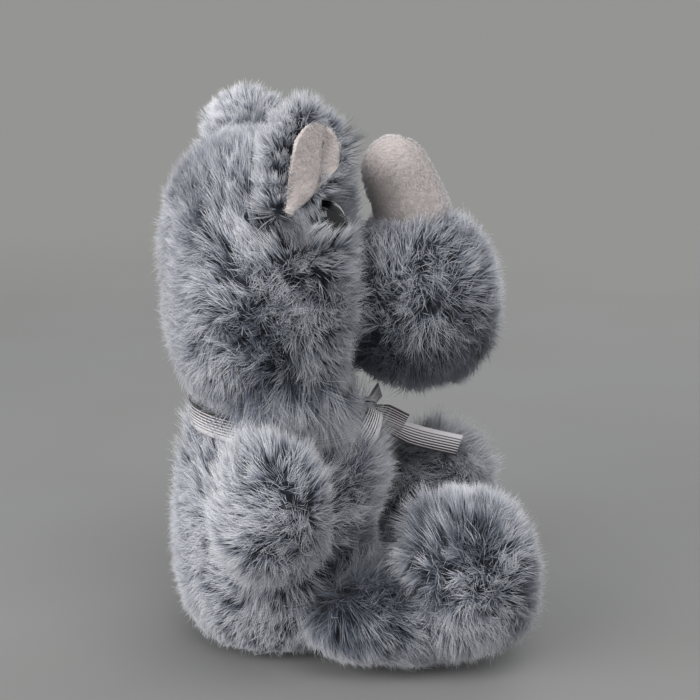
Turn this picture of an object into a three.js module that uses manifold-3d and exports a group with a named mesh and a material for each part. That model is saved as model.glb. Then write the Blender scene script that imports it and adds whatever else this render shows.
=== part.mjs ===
// A sitting plush rhino, sewn from long frosted plush and stuffed, with a velboa horn and ear
// linings, glossy safety eyes and a striped ribbon tied round the neck.
// Millimetres, +Z up. The toy faces -Y, and its right side is -X. The origin is on the flat of the
// seat, under the middle of the body. Each sewn skin is a shell whose wall is the fabric with its
// dense pile, and each is open at the seam where it is filled.

import * as THREE from 'three';
import { mergeVertices } from 'three/addons/utils/BufferGeometryUtils.js';
import Module from 'manifold-3d';

const wasm = await Module();
wasm.setup();

// Clearances and walls
const SEAM_GAP = 0.3; // between two pieces that are sewn or pressed together
const SWING_GAP = 0.6; // round a limb that turns against the body
const PILE_WALL = 8; // plush backing with its dense pile
const VELBOA_WALL = 1.6; // short pile on a thin knit
const FLOOR_CUT = 0.5; // how far a form is pressed flat where it rests

// Body
const BODY_HALF_WIDTH = 47.5;
const BODY_HALF_DEPTH = 46;
const BODY_HEIGHT = 108;
const SEAT_RADIUS = 32;
const BELLY_HEIGHT = 38;
const NECK_RADIUS = 38;
const NECK_LENGTH = 17;
const POUCH_HALF_WIDTH = 17;
const POUCH_HALF_DEPTH = 9.8;
const POUCH_HEIGHT = 12;
const POUCH_SET_BACK = 12.9;

// Neck wad, a ball of firm stuffing that the head rocks on
const WAD_RADIUS = 22;
const WAD_SINK = 4; // its centre lies this far below the top of the neck
const NECK_GROOVE = 6; // between the top of the neck and the underside of the head

// Head
const HEAD_HALF_WIDTH = 52;
const HEAD_HALF_DEPTH = 42;
const HEAD_HALF_HEIGHT = 60;
const HEAD_FULLNESS = 2.4;
const HEAD_CUT_SHARE = 0.8; // of the half height, from the middle down to the flat underside
const HEAD_SET_BACK = 5;
const HEAD_TURN = THREE.MathUtils.degToRad(11); // the head looks a little to its left

// Snout
const SNOUT_HALF_WIDTH = 38;
const SNOUT_HALF_DEPTH = 35;
const SNOUT_HALF_HEIGHT = 40.5;
const SNOUT_SINK = 6.5; // how far the ball is pressed into the head
const SNOUT_DROP = 15; // below the middle of the head
const SNOUT_MOUTH = 17; // radius of the hole where it is filled

// Horn
const HORN_RADIUS = 15.5;
const HORN_HEIGHT = 31.5;
const HORN_ROOT = 12; // the part that is sunk in the snout before it is trimmed
const HORN_TAPER = 0.9; // radius below the round tip, as a share of the radius at the root
const HORN_LEAN = THREE.MathUtils.degToRad(22);
const HORN_SET_BACK = 5;

// Ears
const EAR_WIDTH = 39;
const EAR_HEIGHT = 47;
const EAR_THICKNESS = 8;
const EAR_CUP = 9; // how far the sides of an ear come forward at its root
const EAR_CUP_TIP = 3; // and at its tip
const EAR_RISE = 29; // of the root above the middle of the head
const EAR_FACING = THREE.MathUtils.degToRad(20); // ahead of straight out to the side
const EAR_LEAN = THREE.MathUtils.degToRad(28); // of the tip, forwards
const EAR_SET_BACK = 8; // of the root behind the middle of the head
const EAR_OVER_EYE = 4; // between an eye and the ear above it, so that the ear can flop
const LINING_WIDTH = 25;
const LINING_HEIGHT = 36;
const LINING_GAP = 0.7; // between the faceted cup and its lining
const LINING_PLEAT = 2.2; // height of the folded ridge down the lining

// Eyes
const EYE_RADIUS = 9.8;
const EYE_DOME = 6.8;
const EYE_SINK = 2.1; // of the seat of the eye below the pile
const EYE_RISE = 27;
const EYE_FORWARD = 15;
const SHANK_RADIUS = 2.3;
const SHANK_LENGTH = 13;
const WASHER_RADIUS = 8;
const WASHER_THICKNESS = 2;
const WASHER_DEPTH = 6.6; // from the seat of the eye

// Arms
const ARM_HALF_THICKNESS = 19.5;
const ARM_HALF_DEPTH = 25.5;
const ARM_HALF_LENGTH = 31.5;
const ARM_PRESS = 1; // how far the body's side is pressed flat by the arm
const ARM_FORWARD = -6;
const ARM_OVER_LEG = 5;
const ARM_PIVOT_DROP = 17.5; // of the shoulder below the top of the arm
const ARM_MOUTH = 9;

// Legs
const THIGH_RADIUS = 20;
const THIGH_WIDTH = 43;
const CROTCH_HALF_WIDTH = 19.2;
const FOOT_HALF_WIDTH = 25.5;
const FOOT_HALF_DEPTH = 31;
const FOOT_HALF_HEIGHT = 38;
const SOLE_DEPTH = 24;
const LEG_LIFT = THREE.MathUtils.degToRad(14);
const THIGH_REACH = 33; // half its length along the floor
const THIGH_SLIM = 2.5; // how much narrower than the foot it is, each side
const SOLE_TUCK = 1; // how far the sole is drawn in at its seam

// Ribbon
const RIBBON_WIDTH = 10;
const RIBBON_THICKNESS = 0.7;
const RIBBON_GATHER = 0.5; // its width where it leaves the knot, as a share of its full width
const KNOT_HALF_WIDTH = 6;
const KNOT_HALF_DEPTH = 3.6;
const LOOP_LENGTH = 21;
const LOOP_DEPTH = 7;
const SHORT_TAIL = 15;
const LONG_TAIL = 51;
const RIBBON_DROP = 8; // of the middle of the band below the top of the neck
const RIBBON_TILT = 3; // how much lower the band lies at the throat than at the sides

// Places that follow from the sizes
const LIMB_FULLNESS = 2.2;
const NECK_PIVOT = new THREE.Vector3(0, 0, BODY_HEIGHT - WAD_SINK);
const HEAD_CUT = WAD_SINK + NECK_GROOVE; // above the pivot
const HEAD_MIDDLE = new THREE.Vector3(0, HEAD_SET_BACK, HEAD_CUT + HEAD_CUT_SHARE * HEAD_HALF_HEIGHT);
const SNOUT_MIDDLE = new THREE.Vector3(
  0,
  HEAD_MIDDLE.y - HEAD_HALF_DEPTH + SNOUT_SINK - SNOUT_HALF_DEPTH,
  HEAD_MIDDLE.z - SNOUT_DROP,
);
const ARM_FACE = BODY_HALF_WIDTH - ARM_PRESS + SEAM_GAP;
const HIP_Y = THIGH_RADIUS - BODY_HALF_DEPTH;
const HIP_Z = THIGH_RADIUS - FLOOR_CUT;
const LEG_FACE = CROTCH_HALF_WIDTH + SEAM_GAP;
const ARM_TOP = HIP_Z + THIGH_RADIUS + ARM_OVER_LEG + 2 * ARM_HALF_LENGTH;
const SHOULDER = new THREE.Vector3(ARM_FACE, -ARM_FORWARD, ARM_TOP - ARM_PIVOT_DROP);
const FOOT_MIDDLE = new THREE.Vector3(
  FOOT_HALF_WIDTH,
  -THIGH_RADIUS - FOOT_HALF_DEPTH,
  FOOT_HALF_HEIGHT - FLOOR_CUT - HIP_Z,
);
const FAR = 400; // longer than the toy, for cutting away a whole side

// Fineness
const AROUND = 20;
const RINGS = 12;
const INSIDE_AROUND = 12;
const INSIDE_RINGS = 7;
const BODY_STEPS = 5;
const INSIDE_BODY_STEPS = 3;
const SMALL_AROUND = 14;

const plush = { color: 0x6d727f, roughness: 1, metalness: 0 };
const velboa = { color: 0xc4bab7, roughness: 0.95, metalness: 0 };
const gloss = { color: 0x0c0c0f, roughness: 0.06, metalness: 0 };
const grosgrain = { color: 0xe4e0e4, roughness: 0.7, metalness: 0 };
const wadding = { color: 0xf2f0ea, roughness: 1, metalness: 0 };
const pouchCloth = { color: 0xd8d2c4, roughness: 0.9, metalness: 0 };
const washerPlastic = { color: 0xe8e8e8, roughness: 0.4, metalness: 0 };

// The round fall of a stuffed form: 1 at t = 0 and 0 at t = 1.
function swell(t, fullness) {
  return Math.max(0, 1 - t ** fullness) ** (1 / fullness);
}

// A closed three.js geometry as a solid, with its faces turned outwards.
function solid(geometry) {
  const bare = geometry.clone();
  bare.deleteAttribute('normal');
  bare.deleteAttribute('uv');
  const merged = mergeVertices(bare, 1e-4);
  const corners = merged.attributes.position;
  const triangles = [];
  let volume = 0;
  const [a, b, c] = [new THREE.Vector3(), new THREE.Vector3(), new THREE.Vector3()];
  for (let i = 0; i < merged.index.count; i += 3) {
    const face = [0, 1, 2].map((k) => merged.index.getX(i + k));
    if (new Set(face).size < 3) continue;
    a.fromBufferAttribute(corners, face[0]);
    b.fromBufferAttribute(corners, face[1]);
    c.fromBufferAttribute(corners, face[2]);
    volume += a.dot(b.cross(c));
    triangles.push(face);
  }
  const outward = volume > 0 ? triangles : triangles.map(([p, q, r]) => [p, r, q]);
  return new wasm.Manifold(
    new wasm.Mesh({
      numProp: 3,
      vertProperties: Float32Array.from(corners.array),
      triVerts: Uint32Array.from(outward.flat()),
    }),
  );
}

// A solid as a geometry for a mesh.
function shape(body) {
  const { vertProperties, triVerts } = body.getMesh();
  const geometry = new THREE.BufferGeometry();
  geometry.setAttribute('position', new THREE.BufferAttribute(vertProperties, 3));
  geometry.setIndex(new THREE.BufferAttribute(triVerts, 1));
  geometry.computeVertexNormals();
  return geometry;
}

// A round stuffed form about a middle point, fuller than an ellipsoid when fullness is over 2.
function stuffed(middle, halves, fullness, around = AROUND, rings = RINGS) {
  const geometry = new THREE.SphereGeometry(1, around, rings).rotateX(Math.PI / 2);
  const corners = geometry.attributes.position;
  const v = new THREE.Vector3();
  for (let i = 0; i < corners.count; i += 1) {
    v.fromBufferAttribute(corners, i);
    const size = Math.abs(v.x) ** fullness + Math.abs(v.y) ** fullness + Math.abs(v.z) ** fullness;
    v.multiplyScalar(size ** (-1 / fullness)).multiply(halves).add(middle);
    corners.setXYZ(i, v.x, v.y, v.z);
  }
  return solid(geometry);
}

// A form turned about Z from (radius, height) pairs that start and end on the axis.
function turned(profile, around = AROUND) {
  const points = profile.map(([radius, height]) => new THREE.Vector2(radius, height));
  return new THREE.LatheGeometry(points, around).rotateX(Math.PI / 2);
}

// A rod between two points.
function rod(start, end, radius, around = 20) {
  const along = end.clone().sub(start);
  const geometry = new THREE.CylinderGeometry(radius, radius, along.length(), around);
  const spin = new THREE.Quaternion();
  spin.setFromUnitVectors(new THREE.Vector3(0, 1, 0), along.clone().normalize());
  geometry.applyQuaternion(spin);
  const middle = start.clone().add(end).multiplyScalar(0.5);
  return solid(geometry.translate(middle.x, middle.y, middle.z));
}

// A block between two corners.
function block(low, high) {
  const size = high.clone().sub(low);
  const middle = low.clone().add(high).multiplyScalar(0.5);
  const geometry = new THREE.BoxGeometry(size.x, size.y, size.z);
  return solid(geometry.translate(middle.x, middle.y, middle.z));
}

// All that lies below a height.
function below(height) {
  return block(new THREE.Vector3(-FAR, -FAR, -FAR), new THREE.Vector3(FAR, FAR, height));
}

// All that lies nearer to the toy's middle than a distance out to one side.
function inboard(side, distance) {
  const reach = side * distance;
  const [from, to] = side > 0 ? [-FAR, reach] : [reach, FAR];
  return block(new THREE.Vector3(from, -FAR, -FAR), new THREE.Vector3(to, FAR, FAR));
}

// A closed sheet of cloth. The place function gives the middle of its face for u and v from 0 to 1,
// and the thickness function its thickness there. A ring of cloth closes on itself along u.
function sheet(place, thickness, columns, rows, ring = false) {
  const corners = [];
  const faces = [];
  const wide = ring ? columns : columns + 1;
  const [p, pu, pv] = [new THREE.Vector3(), new THREE.Vector3(), new THREE.Vector3()];
  const step = 1e-3;
  for (const face of [0.5, -0.5]) {
    for (let j = 0; j <= rows; j += 1) {
      for (let i = 0; i < wide; i += 1) {
        const [u, v] = [i / columns, j / rows];
        p.copy(place(u, v));
        pu.copy(place(u + step, v)).sub(place(u - step, v));
        pv.copy(place(u, v + step)).sub(place(u, v - step));
        const normal = pu.cross(pv).normalize();
        p.addScaledVector(normal, face * thickness(u, v));
        corners.push(p.x, p.y, p.z);
      }
    }
  }
  const layer = wide * (rows + 1);
  const at = (i, j, k) => k * layer + j * wide + (i % wide);
  const quad = (a, b, c, d) => faces.push(a, b, c, a, c, d);
  for (let j = 0; j < rows; j += 1) {
    for (let i = 0; i < columns; i += 1) {
      quad(at(i, j, 0), at(i + 1, j, 0), at(i + 1, j + 1, 0), at(i, j + 1, 0));
      quad(at(i, j, 1), at(i, j + 1, 1), at(i + 1, j + 1, 1), at(i + 1, j, 1));
    }
    if (!ring) {
      quad(at(0, j, 0), at(0, j + 1, 0), at(0, j + 1, 1), at(0, j, 1));
      quad(at(columns, j, 1), at(columns, j + 1, 1), at(columns, j + 1, 0), at(columns, j, 0));
    }
  }
  for (let i = 0; i < columns; i += 1) {
    quad(at(i, 0, 1), at(i + 1, 0, 1), at(i + 1, 0, 0), at(i, 0, 0));
    quad(at(i, rows, 0), at(i + 1, rows, 0), at(i + 1, rows, 1), at(i, rows, 1));
  }
  const geometry = new THREE.BufferGeometry();
  geometry.setAttribute('position', new THREE.Float32BufferAttribute(corners, 3));
  geometry.setIndex(faces);
  return solid(geometry);
}

function named(name, body, finish) {
  const mesh = new THREE.Mesh(shape(body), new THREE.MeshStandardMaterial(finish));
  mesh.name = name;
  return mesh;
}

function groupAt(place) {
  const group = new THREE.Group();
  group.position.copy(place);
  return group;
}

const sides = [
  { name: 'right', side: -1 },
  { name: 'left', side: 1 },
];

// The body's form, drawn in by an inset all round and reaching up to a height.
function bodyForm(inset, top, around, rings) {
  const floor = inset;
  const neckFoot = BODY_HEIGHT - NECK_LENGTH;
  const profile = [[0, floor]];
  for (let i = 0; i <= rings; i += 1) {
    const t = Math.cos((i / rings) * (Math.PI / 2));
    const radius = SEAT_RADIUS + (BODY_HALF_WIDTH - SEAT_RADIUS) * swell(t, LIMB_FULLNESS);
    profile.push([radius - inset, BELLY_HEIGHT - t * (BELLY_HEIGHT - floor)]);
  }
  for (let i = 1; i <= rings; i += 1) {
    const t = Math.sin((i / rings) * (Math.PI / 2));
    const radius = NECK_RADIUS + (BODY_HALF_WIDTH - NECK_RADIUS) * swell(t, HEAD_FULLNESS);
    profile.push([radius - inset, BELLY_HEIGHT + t * (neckFoot - BELLY_HEIGHT)]);
  }
  profile.push([NECK_RADIUS - inset, top], [0, top]);
  return solid(turned(profile, around).scale(1, BODY_HALF_DEPTH / BODY_HALF_WIDTH, 1));
}

// The room that a leg needs in the body, with some more round it.
function hipRoom(side, room) {
  const radius = THIGH_RADIUS + room;
  const start = side * (LEG_FACE - SEAM_GAP + SWING_GAP - room);
  const inner = new THREE.Vector3(start, HIP_Y, HIP_Z);
  const outer = new THREE.Vector3(side * FAR, HIP_Y, HIP_Z);
  const axle = rod(inner, outer, radius, AROUND + 4);
  const [low, high] = side > 0 ? [start, FAR] : [-FAR, start];
  const under = block(
    new THREE.Vector3(low, HIP_Y - radius, -FAR),
    new THREE.Vector3(high, HIP_Y + radius, HIP_Z),
  );
  return axle.add(under);
}

function wadBall(radius) {
  return stuffed(new THREE.Vector3(), new THREE.Vector3(radius, radius, radius), 2, AROUND, RINGS);
}

function placed(body, move) {
  return solid(shape(body).translate(move.x, move.y, move.z));
}

function pouchForm(inset) {
  const halves = new THREE.Vector3(POUCH_HALF_WIDTH, POUCH_HALF_DEPTH, POUCH_HEIGHT).subScalar(inset);
  const floor = PILE_WALL + SEAM_GAP;
  const middle = new THREE.Vector3(0, POUCH_SET_BACK, floor);
  return stuffed(middle, halves, LIMB_FULLNESS, INSIDE_AROUND, INSIDE_RINGS).subtract(below(floor));
}

function makeBody() {
  const group = new THREE.Group();
  const socket = placed(wadBall(WAD_RADIUS + SWING_GAP), NECK_PIVOT);
  const plain = [INSIDE_AROUND + 2, INSIDE_BODY_STEPS];
  let outside = bodyForm(0, BODY_HEIGHT, AROUND, BODY_STEPS);
  let cavity = bodyForm(PILE_WALL, BODY_HEIGHT + 1, ...plain);
  let filling = bodyForm(PILE_WALL + SEAM_GAP, BODY_HEIGHT - SEAM_GAP, ...plain);
  for (const { side } of sides) {
    outside = outside.subtract(hipRoom(side, SWING_GAP)).subtract(inboard(-side, SEAM_GAP - ARM_FACE));
    cavity = cavity.subtract(hipRoom(side, SWING_GAP + PILE_WALL));
    filling = filling.subtract(hipRoom(side, SWING_GAP + PILE_WALL + SEAM_GAP));
  }
  const skin = outside.subtract(cavity);
  filling = filling.subtract(socket).subtract(pouchForm(-SEAM_GAP));
  group.add(named('torso_skin', skin, plush));
  group.add(named('torso_stuffing', filling, wadding));
  group.add(named('pellet_pouch', pouchForm(SEAM_GAP), pouchCloth));
  return group;
}

function headForm(inset, around = AROUND, rings = RINGS) {
  const halves = new THREE.Vector3(HEAD_HALF_WIDTH, HEAD_HALF_DEPTH, HEAD_HALF_HEIGHT).subScalar(inset);
  return stuffed(HEAD_MIDDLE, halves, HEAD_FULLNESS, around, rings);
}

// Half the head's width at a place given from its middle.
function headReach(forward, rise) {
  const rest = (Math.abs(forward) / HEAD_HALF_DEPTH) ** HEAD_FULLNESS
    + (Math.abs(rise) / HEAD_HALF_HEIGHT) ** HEAD_FULLNESS;
  return HEAD_HALF_WIDTH * Math.max(0.05, 1 - rest) ** (1 / HEAD_FULLNESS);
}

// The way that the head's surface looks at a place given from its middle.
function headNormal(offset) {
  const bend = (part) => Math.sign(part) * Math.abs(part) ** (HEAD_FULLNESS - 1);
  const slope = (part, half) => bend(part) / half ** HEAD_FULLNESS;
  return new THREE.Vector3(
    slope(offset.x, HEAD_HALF_WIDTH),
    slope(offset.y, HEAD_HALF_DEPTH),
    slope(offset.z, HEAD_HALF_HEIGHT),
  ).normalize();
}

// Where an eye sits, and the way it looks.
function eyeSeat(side) {
  const reach = headReach(EYE_FORWARD, EYE_RISE);
  const offset = new THREE.Vector3(side * reach, -EYE_FORWARD, EYE_RISE);
  const look = headNormal(offset);
  const seat = HEAD_MIDDLE.clone().add(offset).addScaledVector(look, -EYE_SINK);
  return { seat, look };
}

// A rod along an eye's shank, between two depths below its seat.
function alongEye(side, from, to, radius) {
  const { seat, look } = eyeSeat(side);
  const start = seat.clone().addScaledVector(look, -from);
  const end = seat.clone().addScaledVector(look, -to);
  return rod(start, end, radius, SMALL_AROUND);
}

function makeEye(side) {
  const { seat, look } = eyeSeat(side);
  const profile = [[0, -SHANK_LENGTH], [SHANK_RADIUS, -SHANK_LENGTH], [SHANK_RADIUS, 0], [EYE_RADIUS, 0]];
  const steps = 5;
  for (let i = 1; i <= steps; i += 1) {
    const angle = (i / steps) * (Math.PI / 2);
    profile.push([EYE_RADIUS * Math.cos(angle), EYE_DOME * Math.sin(angle)]);
  }
  const spin = new THREE.Quaternion().setFromUnitVectors(new THREE.Vector3(0, 0, 1), look);
  const geometry = turned(profile, SMALL_AROUND + 2).applyQuaternion(spin);
  return solid(geometry.translate(seat.x, seat.y, seat.z));
}

// The leaf outline of an ear: its half width at a height from 0 at the root to 1 at the tip.
function leaf(t, root) {
  const round = swell(Math.abs(2 * t - 1), 2.3);
  return Math.max(0.12, round * (root + (1 - root) * Math.min(1, t * 1.7)));
}

// A point on an ear: across it from -1 to 1, up it from 0 to 1, and out from its middle sheet.
function earPoint(side, across, up, width, height, lift, root) {
  const cup = EAR_CUP + (EAR_CUP_TIP - EAR_CUP) * up;
  const s = across * leaf(up, root) * (width / 2);
  const curl = cup * (s / (EAR_WIDTH / 2)) ** 2;
  const point = new THREE.Vector3(s, up * height, curl + lift);
  point.applyAxisAngle(new THREE.Vector3(0, 0, 1), -EAR_LEAN);
  const out = new THREE.Vector3(side * Math.cos(EAR_FACING), -Math.sin(EAR_FACING), 0);
  const forward = new THREE.Vector3(-side * Math.sin(EAR_FACING), -Math.cos(EAR_FACING), 0);
  return new THREE.Vector3(0, 0, point.y).addScaledVector(forward, point.x).addScaledVector(out, point.z);
}

// The foot of an ear on the head's side, which is also the line that it flops about.
function earRoot(side) {
  const reach = headReach(EAR_SET_BACK, EAR_RISE);
  return HEAD_MIDDLE.clone().add(new THREE.Vector3(side * reach, EAR_SET_BACK, EAR_RISE));
}

// An ear piece cut to lie on the head and to stay clear of the eye below it.
function trimmedEar(body, side) {
  const eyeRoom = alongEye(side, EYE_SINK, -2 * EYE_DOME - EAR_THICKNESS, EYE_RADIUS + EAR_OVER_EYE);
  return body.subtract(headForm(-SEAM_GAP)).subtract(eyeRoom);
}

// An ear's back, of long plush.
function makeEarBack(side) {
  const place = (u, v) => earPoint(side, 2 * u - 1, v, EAR_WIDTH, EAR_HEIGHT, EAR_THICKNESS / 2, 0.55);
  const thickness = (u, v) => {
    const edge = swell(Math.abs(2 * u - 1), 3) * swell(Math.abs(2 * v - 1), 4);
    return EAR_THICKNESS * (0.25 + 0.75 * edge);
  };
  const body = placed(sheet(place, thickness, 8, 7), earRoot(side));
  return trimmedEar(body, side);
}

// An ear's velboa lining, a leaf folded to a ridge down its length, which lies in the cup.
function makeEarLining(side) {
  const start = (EAR_HEIGHT - LINING_HEIGHT) * 0.3;
  const lift = EAR_THICKNESS + LINING_GAP + VELBOA_WALL / 2;
  const place = (u, v) => {
    const across = 2 * u - 1;
    const fold = Math.exp(-(((across - 0.15 - 0.2 * v) / 0.28) ** 2));
    const ridge = LINING_PLEAT * fold * Math.sin(Math.PI * Math.min(1, Math.max(0, v)));
    return earPoint(side, across, v, LINING_WIDTH, LINING_HEIGHT, lift + ridge, 0.25);
  };
  const body = sheet(place, () => VELBOA_WALL, 8, 6);
  const root = earRoot(side).add(new THREE.Vector3(0, 0, start));
  return trimmedEar(placed(body, root), side);
}

function snoutForm(inset, around = AROUND, rings = RINGS - 2) {
  const halves = new THREE.Vector3(SNOUT_HALF_WIDTH, SNOUT_HALF_DEPTH, SNOUT_HALF_HEIGHT).subScalar(inset);
  return stuffed(SNOUT_MIDDLE, halves, 2, around, rings);
}

// The hole through the back of the snout, where it is filled.
function snoutMouth(inset) {
  return rod(SNOUT_MIDDLE, HEAD_MIDDLE.clone().setZ(SNOUT_MIDDLE.z), SNOUT_MOUTH - inset, SMALL_AROUND);
}

// The horn's form, drawn in by an inset, about the point where its axis meets the snout.
function hornForm(inset, root, around = SMALL_AROUND) {
  const radius = HORN_RADIUS - inset;
  const shoulder = HORN_HEIGHT - HORN_RADIUS;
  const profile = [[0, -root], [radius, -root], [radius, 0]];
  const steps = 5;
  for (let i = 0; i <= steps; i += 1) {
    const angle = (i / steps) * (Math.PI / 2);
    const tip = radius * HORN_TAPER;
    profile.push([tip * Math.cos(angle), shoulder + (HORN_RADIUS - inset) * Math.sin(angle)]);
  }
  const geometry = turned(profile, around).rotateX(-HORN_LEAN);
  const top = SNOUT_HALF_HEIGHT * Math.sqrt(1 - (HORN_SET_BACK / SNOUT_HALF_DEPTH) ** 2);
  geometry.translate(0, SNOUT_MIDDLE.y + HORN_SET_BACK, SNOUT_MIDDLE.z + top);
  return solid(geometry);
}

function makeHead() {
  const group = groupAt(NECK_PIVOT);
  group.rotation.z = HEAD_TURN;
  const socket = wadBall(WAD_RADIUS + SWING_GAP);
  const plain = [INSIDE_AROUND + 2, INSIDE_RINGS + 1];
  let skin = headForm(0).subtract(headForm(PILE_WALL, ...plain)).subtract(below(HEAD_CUT)).subtract(socket);
  let filling = headForm(PILE_WALL + SEAM_GAP, ...plain)
    .subtract(below(HEAD_CUT + SEAM_GAP))
    .subtract(socket);
  const washerTop = WASHER_DEPTH - SEAM_GAP;
  const washerEnd = WASHER_DEPTH + WASHER_THICKNESS;
  for (const { name, side } of sides) {
    const pocket = alongEye(side, 0, -EYE_DOME - EYE_SINK, EYE_RADIUS + SEAM_GAP);
    const shankRoom = alongEye(side, -1, SHANK_LENGTH + SEAM_GAP, SHANK_RADIUS + SEAM_GAP);
    const washerRoom = alongEye(side, washerTop, washerEnd + SEAM_GAP, WASHER_RADIUS + SEAM_GAP);
    const rooms = pocket.add(shankRoom).add(washerRoom);
    skin = skin.subtract(rooms);
    filling = filling.subtract(rooms);
    const hole = alongEye(side, 0, SHANK_LENGTH, SHANK_RADIUS + SEAM_GAP);
    const washer = alongEye(side, WASHER_DEPTH, washerEnd, WASHER_RADIUS).subtract(hole);
    group.add(named(`eye_${name}`, makeEye(side), gloss));
    group.add(named(`eye_washer_${name}`, washer, washerPlastic));
    const ear = new THREE.Group();
    ear.add(named(`ear_back_${name}`, makeEarBack(side), plush));
    ear.add(named(`ear_lining_${name}`, makeEarLining(side), velboa));
    group.add(ear);
  }
  const snout = snoutForm(0)
    .subtract(snoutForm(PILE_WALL, INSIDE_AROUND, INSIDE_RINGS))
    .subtract(headForm(-SEAM_GAP))
    .subtract(snoutMouth(0));
  const snoutFilling = snoutForm(PILE_WALL + SEAM_GAP, INSIDE_AROUND, INSIDE_RINGS)
    .add(snoutMouth(SEAM_GAP))
    .subtract(headForm(-SEAM_GAP));
  const horn = hornForm(0, HORN_ROOT)
    .subtract(hornForm(VELBOA_WALL, HORN_ROOT + 1))
    .subtract(snoutForm(-SEAM_GAP));
  const hornFilling = hornForm(VELBOA_WALL + SEAM_GAP, HORN_ROOT).subtract(snoutForm(-SEAM_GAP));
  group.add(named('head_skin', skin, plush));
  group.add(named('head_stuffing', filling, wadding));
  group.add(named('snout_skin', snout, plush));
  group.add(named('snout_stuffing', snoutFilling, wadding));
  group.add(named('horn_skin', horn, velboa));
  group.add(named('horn_stuffing', hornFilling, wadding));
  return group;
}

function makeNeck() {
  const group = groupAt(NECK_PIVOT);
  group.add(named('neck_stuffing', wadBall(WAD_RADIUS), wadding));
  return group;
}

// The arm's form about its shoulder, where its flat face meets the body.
function armForm(side, inset, around = SMALL_AROUND + 2, rings = RINGS - 2) {
  const out = ARM_HALF_THICKNESS * 0.78;
  const middle = new THREE.Vector3(side * out, 0, ARM_PIVOT_DROP - ARM_HALF_LENGTH);
  const halves = new THREE.Vector3(ARM_HALF_THICKNESS, ARM_HALF_DEPTH, ARM_HALF_LENGTH).subScalar(inset);
  return { form: stuffed(middle, halves, LIMB_FULLNESS, around, rings), middle };
}

function makeArm(name, side) {
  const group = groupAt(SHOULDER.clone().multiply(new THREE.Vector3(side, 1, 1)));
  const outer = armForm(side, 0);
  const face = outer.middle.clone().setX(-side);
  const mouth = rod(face, outer.middle, ARM_MOUTH, SMALL_AROUND);
  const plug = rod(face, outer.middle, ARM_MOUTH - SEAM_GAP, SMALL_AROUND);
  const cavity = armForm(side, PILE_WALL, INSIDE_AROUND, INSIDE_RINGS).form;
  const skin = outer.form.subtract(cavity).subtract(mouth).subtract(inboard(side, 0));
  const filling = armForm(side, PILE_WALL + SEAM_GAP, INSIDE_AROUND, INSIDE_RINGS)
    .form.add(plug)
    .subtract(inboard(side, SEAM_GAP));
  group.add(named(`arm_skin_${name}`, skin, plush));
  group.add(named(`arm_stuffing_${name}`, filling, wadding));
  return group;
}

// The room that the belly needs in front of a leg, at rest and with the leg lifted.
function bellyRoom(side, room) {
  const belly = shape(bodyForm(-room, BODY_HEIGHT, AROUND, BODY_STEPS));
  belly.translate(-side * LEG_FACE, -HIP_Y, -HIP_Z);
  return solid(belly).add(solid(belly.clone().rotateX(LEG_LIFT)));
}

// The thigh's form about its hip: a round haunch that turns in the body, and the thigh that lies
// along the floor in front of it.
function thighForm(side, inset, start, around, rings) {
  const straight = THIGH_WIDTH * 0.4;
  const radius = THIGH_RADIUS - inset;
  const profile = [[0, start], [radius, start]];
  for (let i = 0; i <= 4; i += 1) {
    const t = Math.sin((i / 4) * (Math.PI / 2));
    profile.push([radius * swell(t, LIMB_FULLNESS), straight + t * (THIGH_WIDTH - inset - straight)]);
  }
  const haunch = solid(turned(profile, around + 2).rotateY((side * Math.PI) / 2));
  const middle = new THREE.Vector3(side * (FOOT_MIDDLE.x - THIGH_SLIM), FOOT_MIDDLE.y / 2, 0);
  const halves = new THREE.Vector3(FOOT_HALF_WIDTH - THIGH_SLIM, THIGH_REACH, THIGH_RADIUS);
  const thigh = stuffed(middle, halves.subScalar(inset), LIMB_FULLNESS, around, rings);
  return haunch.add(thigh.subtract(bellyRoom(side, SWING_GAP + inset)));
}

// The foot's form, which stands up at the thigh's end.
function footForm(side, inset, around, rings) {
  const middle = FOOT_MIDDLE.clone().multiply(new THREE.Vector3(side, 1, 1));
  const halves = new THREE.Vector3(FOOT_HALF_WIDTH, FOOT_HALF_DEPTH, FOOT_HALF_HEIGHT).subScalar(inset);
  const foot = stuffed(middle, halves, LIMB_FULLNESS, around, rings);
  return foot.subtract(bellyRoom(side, SWING_GAP + inset));
}

function makeLeg(name, side) {
  const group = groupAt(new THREE.Vector3(side * LEG_FACE, HIP_Y, HIP_Z));
  const seam = FOOT_MIDDLE.y - FOOT_HALF_DEPTH + SOLE_DEPTH;
  const front = block(new THREE.Vector3(-FAR, -FAR, -FAR), new THREE.Vector3(FAR, seam, FAR));
  const rear = block(new THREE.Vector3(-FAR, seam - SEAM_GAP, -FAR), new THREE.Vector3(FAR, FAR, FAR));
  const floor = below(-HIP_Z);
  const fine = [SMALL_AROUND, RINGS - 2];
  const plain = [INSIDE_AROUND, INSIDE_RINGS];
  const hollow = thighForm(side, PILE_WALL, -1, ...plain).add(footForm(side, PILE_WALL, ...plain));
  const thigh = thighForm(side, 0, 0, ...fine).subtract(hollow).subtract(front).subtract(floor);
  const foot = footForm(side, 0, ...fine)
    .subtract(thighForm(side, -SEAM_GAP, 0, ...fine))
    .subtract(hollow)
    .subtract(front)
    .subtract(floor);
  const filling = thighForm(side, PILE_WALL + SEAM_GAP, SEAM_GAP, ...plain)
    .add(footForm(side, PILE_WALL + SEAM_GAP, ...plain));
  const sole = footForm(side, SOLE_TUCK, ...fine)
    .subtract(footForm(side, PILE_WALL, ...plain))
    .subtract(rear)
    .subtract(floor);
  group.add(named(`thigh_skin_${name}`, thigh, plush));
  group.add(named(`foot_skin_${name}`, foot, plush));
  group.add(named(`leg_stuffing_${name}`, filling, wadding));
  group.add(named(`foot_sole_${name}`, sole, plush));
  return group;
}

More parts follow.
